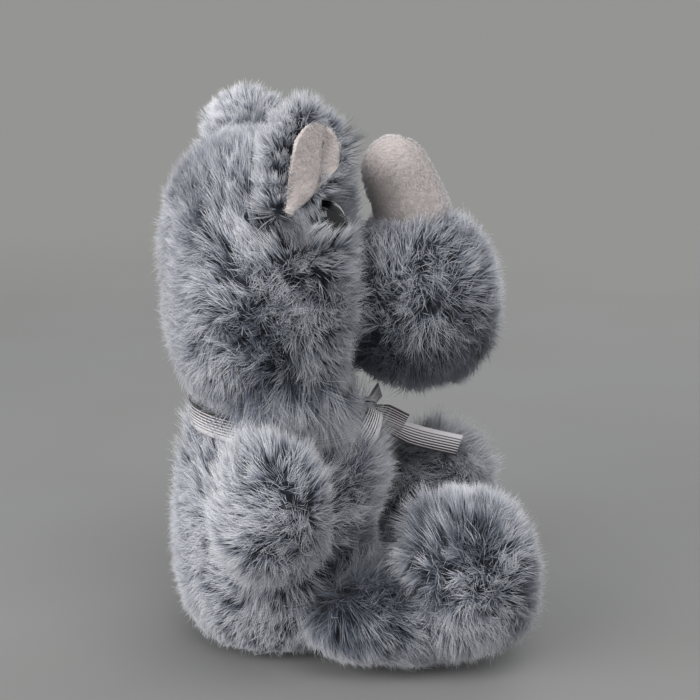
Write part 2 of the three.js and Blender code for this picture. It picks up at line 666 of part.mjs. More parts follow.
// A strip of ribbon along a curve, with its width turned from one direction to another and gathered
// where it leaves the knot, at its start or, for a loop, at both ends.
function strip(points, widthStart, widthEnd, steps, isLoop) {
  const curve = new THREE.CatmullRomCurve3(points);
  const place = (u, v) => {
    const along = Math.min(1, Math.max(0, u));
    const across = widthStart.clone().lerp(widthEnd, along).normalize();
    const away = isLoop ? Math.min(along, 1 - along) : along;
    const width = RIBBON_WIDTH * (RIBBON_GATHER + (1 - RIBBON_GATHER) * Math.min(1, 3 * away));
    const point = curve.getPoint(along).addScaledVector(across, (v - 0.5) * width);
    return point.addScaledVector(curve.getTangent(along), (u - along) * LOOP_LENGTH);
  };
  return sheet(place, () => RIBBON_THICKNESS, steps, 2);
}

// The ribbon's band round the neck, and its bow at the throat.
function makeRibbon() {
  const group = new THREE.Group();
  const deep = BODY_HALF_DEPTH / BODY_HALF_WIDTH;
  const reach = NECK_RADIUS + SEAM_GAP + RIBBON_THICKNESS / 2;
  const height = BODY_HEIGHT - RIBBON_DROP;
  const bandPlace = (u, v) => {
    const angle = u * 2 * Math.PI;
    const lie = height + RIBBON_TILT * Math.sin(angle) + (v - 0.5) * RIBBON_WIDTH;
    return new THREE.Vector3(reach * Math.cos(angle), reach * deep * Math.sin(angle), lie);
  };
  const band = sheet(bandPlace, () => RIBBON_THICKNESS, 36, 1, true);
  const throat = (NECK_RADIUS + SEAM_GAP) * deep + RIBBON_THICKNESS + SEAM_GAP;
  const knotMiddle = new THREE.Vector3(0, -throat - KNOT_HALF_DEPTH, height - RIBBON_TILT);
  const knotHalves = new THREE.Vector3(KNOT_HALF_WIDTH, KNOT_HALF_DEPTH, RIBBON_WIDTH * 0.55);
  const knot = stuffed(knotMiddle, knotHalves, 2.6, SMALL_AROUND, 6);
  const knotRoom = stuffed(knotMiddle, knotHalves.clone().addScalar(SEAM_GAP), 2.6, SMALL_AROUND, 6);
  const flat = new THREE.Vector3(1, 0, 0);
  group.add(named('ribbon_band', band, grosgrain));
  group.add(named('ribbon_knot', knot, grosgrain));
  const tall = new THREE.Vector3(0, 0.3, 1);
  for (const { name, side } of sides) {
    const at = (along, out, up) => {
      const step = new THREE.Vector3(side * along * LOOP_LENGTH, out * LOOP_DEPTH, up * RIBBON_WIDTH);
      return step.add(knotMiddle);
    };
    const there = [at(0.2, -0.1, 0.2), at(0.6, -0.15, 0.35), at(1, 0.4, 0)];
    const back = [at(0.6, 0.5, -0.3), at(0.2, 0.15, -0.2)];
    const loopStrip = strip([...there, ...back], tall, tall, 12, true).subtract(knotRoom);
    group.add(named(`ribbon_loop_${name}`, loopStrip, grosgrain));
  }
  const tails = [
    {
      name: 'right',
      way: new THREE.Vector3(-0.5, -0.85, -0.1),
      length: SHORT_TAIL,
      end: new THREE.Vector3(0.9, -0.2, 0.35),
      steps: 6,
    },
    {
      name: 'left',
      way: new THREE.Vector3(0.39, -0.83, -0.4),
      length: LONG_TAIL,
      end: new THREE.Vector3(0.5, -0.55, 0.65),
      steps: 12,
    },
  ];
  for (const { name, way, length, end, steps } of tails) {
    const finish = knotMiddle.clone().addScaledVector(way.normalize(), length);
    const start = knotMiddle.clone().add(new THREE.Vector3(0, -KNOT_HALF_DEPTH / 2, -KNOT_HALF_DEPTH / 2));
    const middle = start.clone().lerp(finish, 0.4).add(new THREE.Vector3(0, 0, -0.06 * length));
    const tail = strip([start, middle, finish], flat, end, steps, false).subtract(knotRoom);
    group.add(named(`ribbon_tail_${name}`, tail, grosgrain));
  }
  return group;
}

const rhino = new THREE.Group();
rhino.name = 'plush_rhino';
rhino.add(makeBody(), makeNeck(), makeHead(), makeRibbon());
for (const { name, side } of sides) {
  rhino.add(makeArm(name, side), makeLeg(name, side));
}

export default rhino;
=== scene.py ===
"""A sitting plush rhino in long frosted plush, with a velboa horn and a striped ribbon.

Every size in the classes below is in millimetres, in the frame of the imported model: +Z up, the toy
faces -Y and its right side is -X. The head is turned a little to its left about the neck.
"""

import logging
import math
from dataclasses import dataclass, replace
from enum import Enum
from functools import partial
from typing import Any, Callable, Optional, Sequence

import bpy
import numpy as np
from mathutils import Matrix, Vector, kdtree
from numpy.linalg import norm


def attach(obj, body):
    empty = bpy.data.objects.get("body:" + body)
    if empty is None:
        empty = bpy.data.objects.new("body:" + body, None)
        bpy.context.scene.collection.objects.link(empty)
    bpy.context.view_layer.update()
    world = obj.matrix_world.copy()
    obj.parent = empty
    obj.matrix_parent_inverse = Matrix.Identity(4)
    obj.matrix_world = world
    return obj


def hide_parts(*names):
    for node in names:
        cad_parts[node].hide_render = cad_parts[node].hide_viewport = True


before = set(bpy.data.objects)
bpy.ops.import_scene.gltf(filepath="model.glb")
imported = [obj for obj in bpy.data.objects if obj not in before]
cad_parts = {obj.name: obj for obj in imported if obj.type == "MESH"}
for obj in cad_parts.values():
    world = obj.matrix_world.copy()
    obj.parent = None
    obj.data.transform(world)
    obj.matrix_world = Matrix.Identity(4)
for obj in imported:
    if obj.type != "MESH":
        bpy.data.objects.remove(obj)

LOG = logging.getLogger("plush_rhino")
MM = 0.001
HEAD_TURN = 11.0
NECK_PIVOT = (0.0, 0.0, 104.0)
SOLID_HEAD_HALVES = (52.0, 42.0, 60.0)
SOLID_HEAD_FULLNESS = 2.4
PILE_INSET = 7.5
UP = np.array([0.0, 0.0, 1.0])
LEVEL = np.array([1.0, 1.0, 0.0])

Thing = bpy.types.Object
Finish = bpy.types.Material
Array = np.ndarray
Colour = tuple[float, float, float, float]
Place = tuple[float, float, float]
Outline = Callable[[Array], Array]
Lie = Callable[[Array, Array], Array]


class Side(Enum):
    """The toy's two sides, with the sign of X on each."""

    RIGHT = -1
    LEFT = 1

    @property
    def label(self) -> str:
        """The side's word in the names of pieces and nodes."""
        return self.name.lower()


def linear(code: str, alpha: float = 1.0) -> Colour:
    """Turns an sRGB hex colour into the linear one that shaders take.

    Args:
        code: the colour, such as "#6f7480".
        alpha: its opacity.

    Returns:
        Red, green, blue and alpha, linear.
    """
    parts = [int(code[i : i + 2], 16) / 255 for i in (1, 3, 5)]
    out = [p / 12.92 if p <= 0.04045 else ((p + 0.055) / 1.055) ** 2.4 for p in parts]
    return (out[0], out[1], out[2], alpha)


def unit(v: Array) -> Array:
    """Vectors scaled to length one."""
    return v / np.maximum(norm(v, axis=-1, keepdims=True), 1e-9)


def turned(points: Array, degrees: float, pivot: Sequence[float] = NECK_PIVOT) -> Array:
    """Turns points about the upright line through a pivot.

    Args:
        points: points, one to a row.
        degrees: the angle, by the right hand about +Z.
        pivot: a point on the line.

    Returns:
        The turned points.
    """
    a = math.radians(degrees)
    base = np.asarray(pivot, float)
    q = np.asarray(points, float) - base
    out = q.copy()
    out[..., 0] = q[..., 0] * math.cos(a) - q[..., 1] * math.sin(a)
    out[..., 1] = q[..., 0] * math.sin(a) + q[..., 1] * math.cos(a)
    return out + base


def spun(vectors: Array, degrees: float) -> Array:
    """Turns directions about +Z."""
    return turned(vectors, degrees, (0.0, 0.0, 0.0))


def swell(t: Array, fullness: float) -> Array:
    """The round fall of a stuffed form: 1 at t = 0 and 0 at t = 1."""
    return np.maximum(0.0, 1.0 - np.abs(t) ** fullness) ** (1.0 / fullness)


def rise(values: Array, start: float, span: float) -> Array:
    """A slope that climbs from 0 at its start to 1 where its span ends."""
    return np.clip((values - start) / span, 0, 1)


def fall(values: Array, end: float, span: float) -> Array:
    """A slope that drops from 1, where its span begins, to 0 at its end."""
    return np.clip((end - values) / span, 0, 1)


def blob(*ways: tuple[Array, float, float]) -> Array:
    """A soft spot, 1 in its middle; each way gives its values, its middle and its width."""
    return np.exp(-sum(((values - middle) / width) ** 2 for values, middle, width in ways))


def ring_angles(count: int) -> Array:
    """Evenly spaced angles of a full turn."""
    return np.arange(count) * 2 * math.pi / count


def length_of(line: Array) -> float:
    """The length of a line through points."""
    return float(norm(np.diff(line, axis=0), axis=1).sum())


# Nodes and meshes


def add_node(
    tree: bpy.types.NodeTree, kind: str, settings: Optional[dict] = None, **inputs: Any
) -> bpy.types.Node:
    """Adds a shader node with its settings, and sets or links its inputs.

    Args:
        tree: the node tree.
        kind: the node's type, without its first words.
        settings: attributes of the node, by name; "stops" are a ramp's places and colours.
        inputs: values or sockets, by the input's name with _ for a space, or i and its number.

    Returns:
        The new node.
    """
    node = tree.nodes.new("ShaderNode" + kind)
    for key, value in (settings or {}).items():
        if key != "stops":
            setattr(node, key, value)
            continue
        elements = node.color_ramp.elements
        while len(elements) < len(value):
            elements.new(0.5)
        for element, (place, colour) in zip(elements, value):
            element.position = place
            element.color = linear(colour)
    for key, value in inputs.items():
        numbered = key[0] == "i" and key[1:].isdigit()
        socket = node.inputs[int(key[1:]) if numbered else key.replace("_", " ")]
        if isinstance(value, bpy.types.NodeSocket):
            tree.links.new(value, socket)
        else:
            socket.default_value = value
    return node


def new_material(name: str) -> tuple[Finish, bpy.types.NodeTree, bpy.types.Node]:
    """Makes an empty principled material.

    Args:
        name: the material's name.

    Returns:
        The material, its node tree and its principled shader.
    """
    material = bpy.data.materials.new(name)
    material.use_nodes = True
    tree = material.node_tree
    return material, tree, tree.nodes["Principled BSDF"]


def link(obj: Thing) -> Thing:
    """Links a new object to the scene."""
    bpy.context.scene.collection.objects.link(obj)
    return obj


def deselect() -> None:
    """Leaves edit mode and selects nothing."""
    if bpy.context.object and bpy.context.object.mode != "OBJECT":
        bpy.ops.object.mode_set(mode="OBJECT")
    bpy.ops.object.select_all(action="DESELECT")


def activate(obj: Thing) -> None:
    """Selects one object alone and makes it active.

    Args:
        obj: the object.
    """
    deselect()
    obj.select_set(True)
    bpy.context.view_layer.objects.active = obj


def apply_modifier(obj: Thing, kind: str, **settings: Any) -> None:
    """Adds a modifier, sets it and applies it.

    Args:
        obj: the object.
        kind: the modifier's type.
        settings: its attributes, by name.
    """
    activate(obj)
    modifier = obj.modifiers.new(kind.title(), kind)
    for key, value in settings.items():
        setattr(modifier, key, value)
    bpy.ops.object.modifier_apply(modifier=modifier.name)


def mesh_from(name: str, points: Array, faces: Sequence[Sequence[int]]) -> Thing:
    """Makes a mesh object from points in millimetres.

    Args:
        name: the object's name.
        points: corner places, one to a row.
        faces: corner numbers of each face.

    Returns:
        The object, linked to the scene.
    """
    mesh = bpy.data.meshes.new(name)
    corners = [tuple(p) for p in np.asarray(points, float) * MM]
    mesh.from_pydata(corners, [], [tuple(f) for f in faces])
    mesh.validate()
    return link(bpy.data.objects.new(name, mesh))


def spun_mesh(name: str, profile: Sequence[tuple[float, float]], steps: int) -> Thing:
    """Makes a closed mesh by spinning a profile about +Z.

    Args:
        name: the object's name.
        profile: radius and height of its points, in millimetres.
        steps: how many sides it gets.

    Returns:
        The object, linked to the scene.
    """
    mesh = bpy.data.meshes.new(name)
    obj = link(bpy.data.objects.new(name, mesh))
    edges = [(i, i + 1) for i in range(len(profile) - 1)]
    mesh.from_pydata([(r * MM, 0, z * MM) for r, z in profile], edges, [])
    activate(obj)
    bpy.ops.object.mode_set(mode="EDIT")
    bpy.ops.mesh.select_all(action="SELECT")
    bpy.ops.mesh.spin(steps=steps, angle=2 * math.pi, center=(0, 0, 0), axis=(0, 0, 1), dupli=False)
    bpy.ops.object.mode_set(mode="OBJECT")
    tidy_normals(obj)
    return obj


def places(obj: Thing) -> Array:
    """The corners of a mesh, in millimetres.

    Args:
        obj: the mesh's object.

    Returns:
        The corners, one to a row.
    """
    co = np.empty(len(obj.data.vertices) * 3)
    obj.data.vertices.foreach_get("co", co)
    return co.reshape(-1, 3) / MM


def move_to(obj: Thing, points: Array) -> None:
    """Puts the corners of a mesh at points in millimetres."""
    obj.data.vertices.foreach_set("co", (np.asarray(points) * MM).ravel())
    obj.data.update()


def smooth(obj: Thing) -> None:
    """Shades a mesh smooth."""
    obj.data.polygons.foreach_set("use_smooth", np.ones(len(obj.data.polygons), bool))


def tidy_normals(obj: Thing) -> None:
    """Merges doubles and turns every face of a closed mesh outwards.

    Args:
        obj: the mesh's object.
    """
    activate(obj)
    bpy.ops.object.mode_set(mode="EDIT")
    bpy.ops.mesh.select_all(action="SELECT")
    bpy.ops.mesh.remove_doubles(threshold=1e-5)
    bpy.ops.mesh.normals_make_consistent(inside=False)
    bpy.ops.object.mode_set(mode="OBJECT")


# Finishes


@dataclass(frozen=True)
class Grain:
    """Fine noise in the object's own space, which mottles a colour between two shades."""

    size_mm: float
    detail: float
    stops: tuple[tuple[float, str], tuple[float, str]]

    def add(self, tree: bpy.types.NodeTree, shader: bpy.types.Node) -> bpy.types.NodeSocket:
        """Colours a shader by the grain.

        Args:
            tree: the node tree.
            shader: the principled shader.

        Returns:
            The height of the noise.
        """
        where = add_node(tree, "TexCoord").outputs["Object"]
        scale = 1000 / self.size_mm
        noise = add_node(tree, "TexNoise", Vector=where, Scale=scale, Detail=self.detail)
        colour = add_node(tree, "ValToRGB", {"stops": self.stops}, Fac=noise.outputs["Fac"])
        tree.links.new(colour.outputs["Color"], shader.inputs["Base Color"])
        return noise.outputs["Fac"]


@dataclass(frozen=True)
class PlushBacking:
    """Knitted polyester backing with the dark feet of its pile, which shows only between tufts."""

    name: str = "plush_backing"
    grain: Grain = Grain(2.5, 3.0, ((0.3, "#15171d"), (0.7, "#2c303a")))

    def make(self) -> Finish:
        """Builds the material.

        Returns:
            The material.
        """
        material, tree, shader = new_material(self.name)
        height = self.grain.add(tree, shader)
        shader.inputs["Roughness"].default_value = 1.0
        bump = add_node(tree, "Bump", Height=height, Strength=0.6, Distance=0.0008)
        tree.links.new(bump.outputs["Normal"], shader.inputs["Normal"])
        return material


@dataclass(frozen=True)
class FrostedPile:
    """Long polyester pile, slate at the root and pale at the tip: each tuft looks frosted.

    The fibres carry a map whose height runs from root to tip, and whose width is the fibre's tone.
    """

    name: str = "frosted_pile"
    root: str = "#23262d"
    low: str = "#434954"
    middle: str = "#868a94"
    high: str = "#babbc1"
    tip: str = "#e2e2e5"

    def make(self) -> Finish:
        """Builds the material.

        Returns:
            The material.
        """
        material, tree, shader = new_material(self.name)
        where = add_node(tree, "UVMap", {"uv_map": "OFBake"}).outputs["UV"]
        split = add_node(tree, "SeparateXYZ", Vector=where)
        plain = [(0.3, self.root), (0.65, self.low), (1.0, self.middle)]
        frosted = [(0.2, self.root), (0.44, self.low), (0.6, self.middle)]
        frosted += [(0.76, self.high), (0.95, self.tip)]
        dark, frost = (
            add_node(tree, "ValToRGB", {"stops": stops}, Fac=split.outputs["Y"]).outputs["Color"]
            for stops in (plain, frosted)
        )
        by_tone = {"stops": [(0.12, "#000000"), (0.6, "#ffffff")]}
        share = add_node(tree, "ValToRGB", by_tone, Fac=split.outputs["X"]).outputs["Color"]
        mix = add_node(tree, "Mix", {"data_type": "RGBA"}, i0=share, i6=dark, i7=frost)
        tree.links.new(mix.outputs[2], shader.inputs["Base Color"])
        shader.inputs["Roughness"].default_value = 0.7
        shader.inputs["Specular IOR Level"].default_value = 0.25
        shader.inputs["Sheen Weight"].default_value = 0.5
        shader.inputs["Sheen Roughness"].default_value = 0.5
        shader.inputs["Sheen Tint"].default_value = linear("#e8e8f0")
        return material


@dataclass(frozen=True)
class Velboa:
    """Short polyester pile on a knit, brushed one way, so that it shows fine slanting ribs."""

    name: str = "velboa"
    pale: str = "#cbc1be"
    shade: str = "#b2a8a4"
    nap_mm: float = 0.9
    patch_mm: float = 25 / 3
    lean: Place = (0.0, 0.45, -0.35)

    def make(self) -> Finish:
        """Builds the material.

        Returns:
            The material.
        """
        material, tree, shader = new_material(self.name)
        where = add_node(tree, "TexCoord").outputs["Object"]
        across = add_node(tree, "Mapping", Vector=where, Rotation=self.lean, Scale=(1.0, 0.35, 1.0))
        fine = {"Scale": 1000 / self.nap_mm, "Detail": 2.0, "Roughness": 0.6}
        nap = add_node(tree, "TexNoise", Vector=across.outputs["Vector"], **fine)
        patch = add_node(tree, "TexNoise", Vector=where, Scale=1000 / self.patch_mm, Detail=1.0)
        add = {"operation": "MULTIPLY_ADD"}
        both = add_node(tree, "Math", add, i0=patch.outputs["Fac"], i1=0.45, i2=nap.outputs["Fac"])
        stops = [(0.4, self.shade), (0.95, self.pale)]
        colour = add_node(tree, "ValToRGB", {"stops": stops}, Fac=both.outputs[0])
        tree.links.new(colour.outputs["Color"], shader.inputs["Base Color"])
        shader.inputs["Roughness"].default_value = 0.95
        shader.inputs["Specular IOR Level"].default_value = 0.2
        shader.inputs["Sheen Weight"].default_value = 0.25
        bump = add_node(tree, "Bump", Height=nap.outputs["Fac"], Strength=0.5, Distance=0.0006)
        tree.links.new(bump.outputs["Normal"], shader.inputs["Normal"])
        return material


@dataclass(frozen=True)
class EyeGloss:
    """Moulded acrylic safety eye, polished, which mirrors the room in a near black dome."""

    name: str = "polished_acrylic"
    haze: Grain = Grain(2.5, 1.0, ((0.4, "#0a0908"), (0.7, "#100e0c")))

    def make(self) -> Finish:
        """Builds the material.

        Returns:
            The material.
        """
        material, tree, shader = new_material(self.name)
        self.haze.add(tree, shader)
        shader.inputs["Roughness"].default_value = 0.06
        shader.inputs["IOR"].default_value = 1.52
        return material


@dataclass(frozen=True)
class Grosgrain:
    """Ribbed polyester ribbon woven white, with black stripes that narrow from edge to edge.

    The ribbon carries a map whose height runs across it, and whose width counts millimetres along.
    """

    name: str = "grosgrain"
    white: str = "#dedadc"
    black: str = "#2a2628"
    stripes: int = 8
    wide: float = 0.82
    narrow: float = 0.24
    selvedge: float = 0.87
    rib_mm: float = 0.5

    def make(self) -> Finish:
        """Builds the material.

        Returns:
            The material.
        """
        material, tree, shader = new_material(self.name)
        where = add_node(tree, "UVMap", {"uv_map": "weave"}).outputs["UV"]
        split = add_node(tree, "SeparateXYZ", Vector=where)
        along, across = split.outputs["X"], split.outputs["Y"]
        times, less = {"operation": "MULTIPLY"}, {"operation": "LESS_THAN"}
        count = add_node(tree, "Math", times, i0=across, i1=float(self.stripes))
        phase = add_node(tree, "Math", {"operation": "FRACT"}, i0=count.outputs[0])
        narrowing = {"i0": across, "i1": self.narrow - self.wide, "i2": self.wide}
        share = add_node(tree, "Math", {"operation": "MULTIPLY_ADD"}, **narrowing)
        stripe = add_node(tree, "Math", less, i0=phase.outputs[0], i1=share.outputs[0])
        woven = add_node(tree, "Math", less, i0=across, i1=self.selvedge)
        both = add_node(tree, "Math", times, i0=stripe.outputs[0], i1=woven.outputs[0])
        colours = {"i6": linear(self.white), "i7": linear(self.black)}
        mix = add_node(tree, "Mix", {"data_type": "RGBA"}, i0=both.outputs[0], **colours)
        tree.links.new(mix.outputs[2], shader.inputs["Base Color"])
        ribs = add_node(tree, "Math", times, i0=along, i1=2 * math.pi / self.rib_mm)
        wave = add_node(tree, "Math", {"operation": "SINE"}, i0=ribs.outputs[0])
        bump = add_node(tree, "Bump", Height=wave.outputs[0], Strength=0.35, Distance=0.0002)
        tree.links.new(bump.outputs["Normal"], shader.inputs["Normal"])
        shader.inputs["Roughness"].default_value = 0.55
        shader.inputs["Sheen Weight"].default_value = 0.15
        return material


@dataclass(frozen=True)
class PlainInside:
    """A material for a piece that stays inside the toy, such as its filling."""

    name: str
    grain: Grain

    def make(self) -> Finish:
        """Builds the material.

        Returns:
            The material.
        """
        material, tree, shader = new_material(self.name)
        self.grain.add(tree, shader)
        shader.inputs["Roughness"].default_value = 0.9
        return material


@dataclass(frozen=True)
class Studio:
    """The plain grey paper that the toy sits on, which fades into the backdrop away from it."""

    name: str = "grey_paper"
    grain: Grain = Grain(500 / 3, 1.0, ((0.3, "#7e7e7c"), (0.7, "#818180")))
    backdrop: str = "#959593"
    room_light: str = "#e6e8ec"
    room_strength: float = 0.72
    near: float = 0.45
    far: float = 1.3

    def make(self) -> Finish:
        """Builds the paper, which the camera sees fade into the backdrop.

        Returns:
            The material.
        """
        material, tree, shader = new_material(self.name)
        self.grain.add(tree, shader)
        shader.inputs["Roughness"].default_value = 0.9
        shader.inputs["Specular IOR Level"].default_value = 0.1
        where = add_node(tree, "TexCoord").outputs["Object"]
        away = add_node(tree, "VectorMath", {"operation": "LENGTH"}, Vector=where).outputs["Value"]
        span = {"From_Min": self.near, "From_Max": self.far}
        fade = add_node(tree, "MapRange", {"interpolation_type": "SMOOTHSTEP"}, Value=away, **span)
        seen = add_node(tree, "LightPath").outputs["Is Camera Ray"]
        times = {"operation": "MULTIPLY"}
        share = add_node(tree, "Math", times, i0=fade.outputs["Result"], i1=seen).outputs[0]
        glow = add_node(tree, "Emission", Color=linear(self.backdrop), Strength=1.0).outputs[0]
        mix = add_node(tree, "MixShader", i0=share, i1=shader.outputs[0], i2=glow)
        tree.links.new(mix.outputs[0], tree.nodes["Material Output"].inputs["Surface"])
        return material

    def room(self) -> bpy.types.World:
        """Builds the room's even light, with the same grey behind the toy.

        Returns:
            The world.
        """
        world = bpy.data.worlds.new("room")
        world.use_nodes = True
        tree = world.node_tree
        light = tree.nodes["Background"]
        light.inputs["Color"].default_value = linear(self.room_light)
        light.inputs["Strength"].default_value = self.room_strength
        seen = add_node(tree, "LightPath").outputs["Is Camera Ray"]
        grey = add_node(tree, "Background", Color=linear(self.backdrop), Strength=1.0).outputs[0]
        mix = add_node(tree, "MixShader", i0=seen, i1=light.outputs[0], i2=grey)
        tree.links.new(mix.outputs[0], tree.nodes["World Output"].inputs["Surface"])
        return world


# Forms


@dataclass(frozen=True)
class Form:
    """A round stuffed form: a superellipsoid, which may sit on a turned head.

    Attributes:
        middle: its middle, unturned.
        halves: its half sizes.
        fullness: its power, 2 for an ellipsoid and more for a boxier one.
        turn: how far it is turned about the neck.
        floor: the height under which its surface doesn't reach.
        front: its half depth ahead of its middle, where that differs.
    """

    middle: Place
    halves: Place
    fullness: float = 2.2
    turn: float = 0.0
    floor: Optional[float] = None
    front: Optional[float] = None

    def sizes(self, ahead: Array) -> Array:
        """The half sizes for each point.

        Args:
            ahead: whether each point lies ahead of the middle.

        Returns:
            The sizes, one row to a point.
        """
        halves = np.tile(np.array(self.halves), (len(ahead), 1))
        if self.front is not None:
            halves[ahead, 1] = self.front
        return halves

    def level(self, points: Array) -> Array:
        """The size, against the form's own, of a like one through each scaled point."""
        return (np.abs(points) ** self.fullness).sum(-1, keepdims=True) ** (1 / self.fullness)

    def beyond(self, points: Array) -> Array:
        """How far points lie outside the form, measured from its middle.

        Args:
            points: the points, in the part's frame.

        Returns:
            The distances, below 0 inside.
        """
        q = turned(points, -self.turn) - np.array(self.middle)
        level = self.level(q / self.sizes(q[:, 1] < 0))[:, 0]
        return norm(q, axis=-1) * (1 - 1 / np.maximum(level, 1e-6))

    def surface(self, directions: Array, inset: float) -> Array:
        """Points of the form's surface, drawn in by an inset.

        Args:
            directions: directions from the middle, one to a row.
            inset: how far inside the form the surface lies.

        Returns:
            The points, turned into place.
        """
        sizes = self.sizes(directions[:, 1] < 0) - inset
        points = directions / self.level(directions) * sizes + np.array(self.middle)
        if self.floor is not None:
            points[:, 2] = np.maximum(points[:, 2], self.floor)
        return turned(points, self.turn)


@dataclass(frozen=True)
class BodyForm:
    """The torso's form: round about Z, widest at the belly, drawn in to the neck."""

    half_width: float = 47.5
    depth_share: float = 46.0 / 47.5
    seat_radius: float = 32.0
    seat_fullness: float = 2.2
    belly: float = 38.0
    neck_radius: float = 38.0
    neck_fullness: float = 2.4
    neck_foot: float = 91.0
    top: float = 108.0

    def radius(self, z: Array) -> Array:
        """The form's half width at a height.

        Args:
            z: the heights.

        Returns:
            The half widths.
        """
        drop = swell((self.belly - z) / self.belly, self.seat_fullness)
        low = self.seat_radius + (self.half_width - self.seat_radius) * drop
        climb = swell(rise(z, self.belly, self.neck_foot - self.belly), self.neck_fullness)
        high = self.neck_radius + (self.half_width - self.neck_radius) * climb
        return np.where(z < self.belly, low, high)

    def beyond(self, points: Array) -> Array:
        """How far points lie outside the form.

        Args:
            points: the points, in the part's frame.

        Returns:
            The distances, below 0 inside.
        """
        x, y, z = points[:, 0], points[:, 1] / self.depth_share, points[:, 2]
        side = np.hypot(x, y) - self.radius(np.clip(z, 0.5, self.top))
        return np.maximum(side, np.maximum(z - self.top, -z))


def merged(soft: float, *outlines: Outline) -> Outline:
    """Joins outlines smoothly, so that pile fills the crease between forms.

    Args:
        soft: how widely the crease is filled, in millimetres.
        outlines: functions that tell how far places lie past a form.

    Returns:
        The joint function.
    """

    def past(spots: Array) -> Array:
        """How far places lie past the joined forms."""
        nearness = (np.exp(-np.clip(f(spots), -60, 200) / soft) for f in outlines)
        return -soft * np.log(sum(nearness))

    return past


def drawn_in(outline: Outline, height: float, depth: float, toe: float = 0.0) -> Outline:
    """Rounds the foot of an outline, where the toy's weight presses its pile under it.

    Args:
        outline: tells how far places lie past a form.
        height: up to which it is rounded.
        depth: how far it is drawn in at the floor.
        toe: how much more for each millimetre in front of the middle of the feet.

    Returns:
        The rounded function.
    """
    foot_middle, toe_reach = -70.0, 40.0

    def past(spots: Array) -> Array:
        """How far places lie past the rounded form."""
        ahead = np.clip(foot_middle - spots[:, 1], 0, toe_reach)
        return outline(spots) + fall(spots[:, 2], height, height) * (depth + toe * ahead)

    return past


@dataclass(frozen=True)
class Whorl:
    """Pile that lies away from a spot on each side of the toy, as it does on plump panels.

    Attributes:
        spot: the right side's spot, from which the left one is mirrored.
        reach: how far from it the pile comes to lie flattest, in millimetres.
        lean: how much it lies over there.
        drop: how much it hangs.
        turn: how far the form is turned about the neck.
        wander: how much the lie strays in slow waves, as a hand leaves it.
    """

    spot: Place
    reach: float = 20.0
    lean: float = 0.9
    drop: float = 0.1
    turn: float = 0.0
    wander: float = 0.5

    WAVES = 12
    PITCHES = (36.0, 16.0)
    STRENGTHS = (0.42, 0.26)

    def sweep(self, points: Array, facing: Array) -> Array:
        """The way that the pile is brushed at each place.

        Args:
            points: the places.
            facing: the skin's normals there.

        Returns:
            Directions, with their strength as length.
        """
        local = turned(points, -self.turn)
        across, back, up = self.spot
        heart = np.where(local[:, :1] < 0, -1.0, 1.0) * np.array([[abs(across), 0.0, 0.0]])
        away = spun(local - (heart + np.array([[0.0, back, up]])), self.turn)
        away -= (away * facing).sum(1, keepdims=True) * facing
        flat = rise(norm(away, axis=1, keepdims=True), 0.0, self.reach)
        way = unit(away) * self.lean * flat**2.0 - self.drop * UP
        waves = np.random.default_rng(5).normal(size=(self.WAVES, 3, 3))
        calm = 0.7 + 0.3 * flat
        for number, wave in enumerate(waves):
            size = self.PITCHES[number % 2]
            pitch = 2 * math.pi / size * unit(wave[0]) * (0.7 + 0.3 * abs(wave[2][0]))
            swing = np.sin(points @ pitch + wave[2][1] * 9)[:, None]
            strength = self.wander * self.STRENGTHS[number % 2] * calm
            way = way + 1.2 * strength * np.cross(unit(wave[0]), wave[1]) * swing
        return way


# Fur


@dataclass
class Comb:
    """How the pile of one form lies. What it calls takes places on the skin, and the normals there.

    Attributes:
        brush: the way that the pile is brushed.
        length: the most that a fibre measures, in millimetres.
        lift: how much it stands away from the skin; at 0 it hangs just as it is brushed.
        unruly: how far tufts stray from their lie.
        curl: how far their tips turn aside.
        gather: how much the fibres of a tuft meet at their tips.
        width: of a fibre at its middle.
        tone: its mean place between unfrosted and frosted.
        edge: how far past the form's outline the tips end, on average.
        trim: shortens it.
        envelope: tells how far places lie past the form's outline.
        shade: shifts the tone by place; on most forms this is painted light and shade.
    """

    brush: Lie
    length: float = 15.5
    lift: float = 0.65
    unruly: float = 0.34
    curl: float = 0.7
    gather: float = 0.34
    width: float = 0.28
    tone: float = 0.5
    edge: float = 0.6
    trim: Optional[Lie] = None
    envelope: Optional[Outline] = None
    shade: Optional[Lie] = None


@dataclass(frozen=True)
class Obstacle:
    """A round thing that fibres part round: a stretch of an axis with a radius at each end."""

    start: Place
    end: Place
    radius: float
    tip_radius: float
    looseness: float = 0.12

    def part(self, points: Array, share: Array) -> Array:
        """Pushes points out of the obstacle.

        Args:
            points: points, one to a row.
            share: a random share for each point, so that the fibres don't end in one line.

        Returns:
            The points, moved where they were inside.
        """
        a, b = np.array(self.start), np.array(self.end)
        axis = (b - a) / norm(b - a)
        along = (points - a) @ axis
        out = points - a - along[:, None] * axis
        away = norm(out, axis=1)
        ratio = np.clip(along / norm(b - a), 0, 1)
        limit = self.radius + (self.tip_radius - self.radius) * ratio
        limit = limit * (1 + self.looseness * share)
        inside = (along > 0) & (ratio < 1) & (away < limit)
        push = np.where(inside, limit - away, 0.0)
        return points + out / np.maximum(away, 1e-6)[:, None] * push[:, None]


def mottle(points: Array) -> Array:
    """A slow random field over the toy, by which its pile is darker or paler in patches.

    Args:
        points: the places.

    Returns:
        Its value at each place, about -1 to 1.
    """
    waves = np.random.default_rng(9).normal(size=(14, 4))
    pitches = np.linspace(13.0, 30.0, len(waves))
    swings = (
        np.sin(points @ unit(wave[:3]) * 2 * math.pi / pitch + 9 * wave[3])
        for wave, pitch in zip(waves, pitches)
    )
    return sum(swings) / math.sqrt(len(waves) / 2)


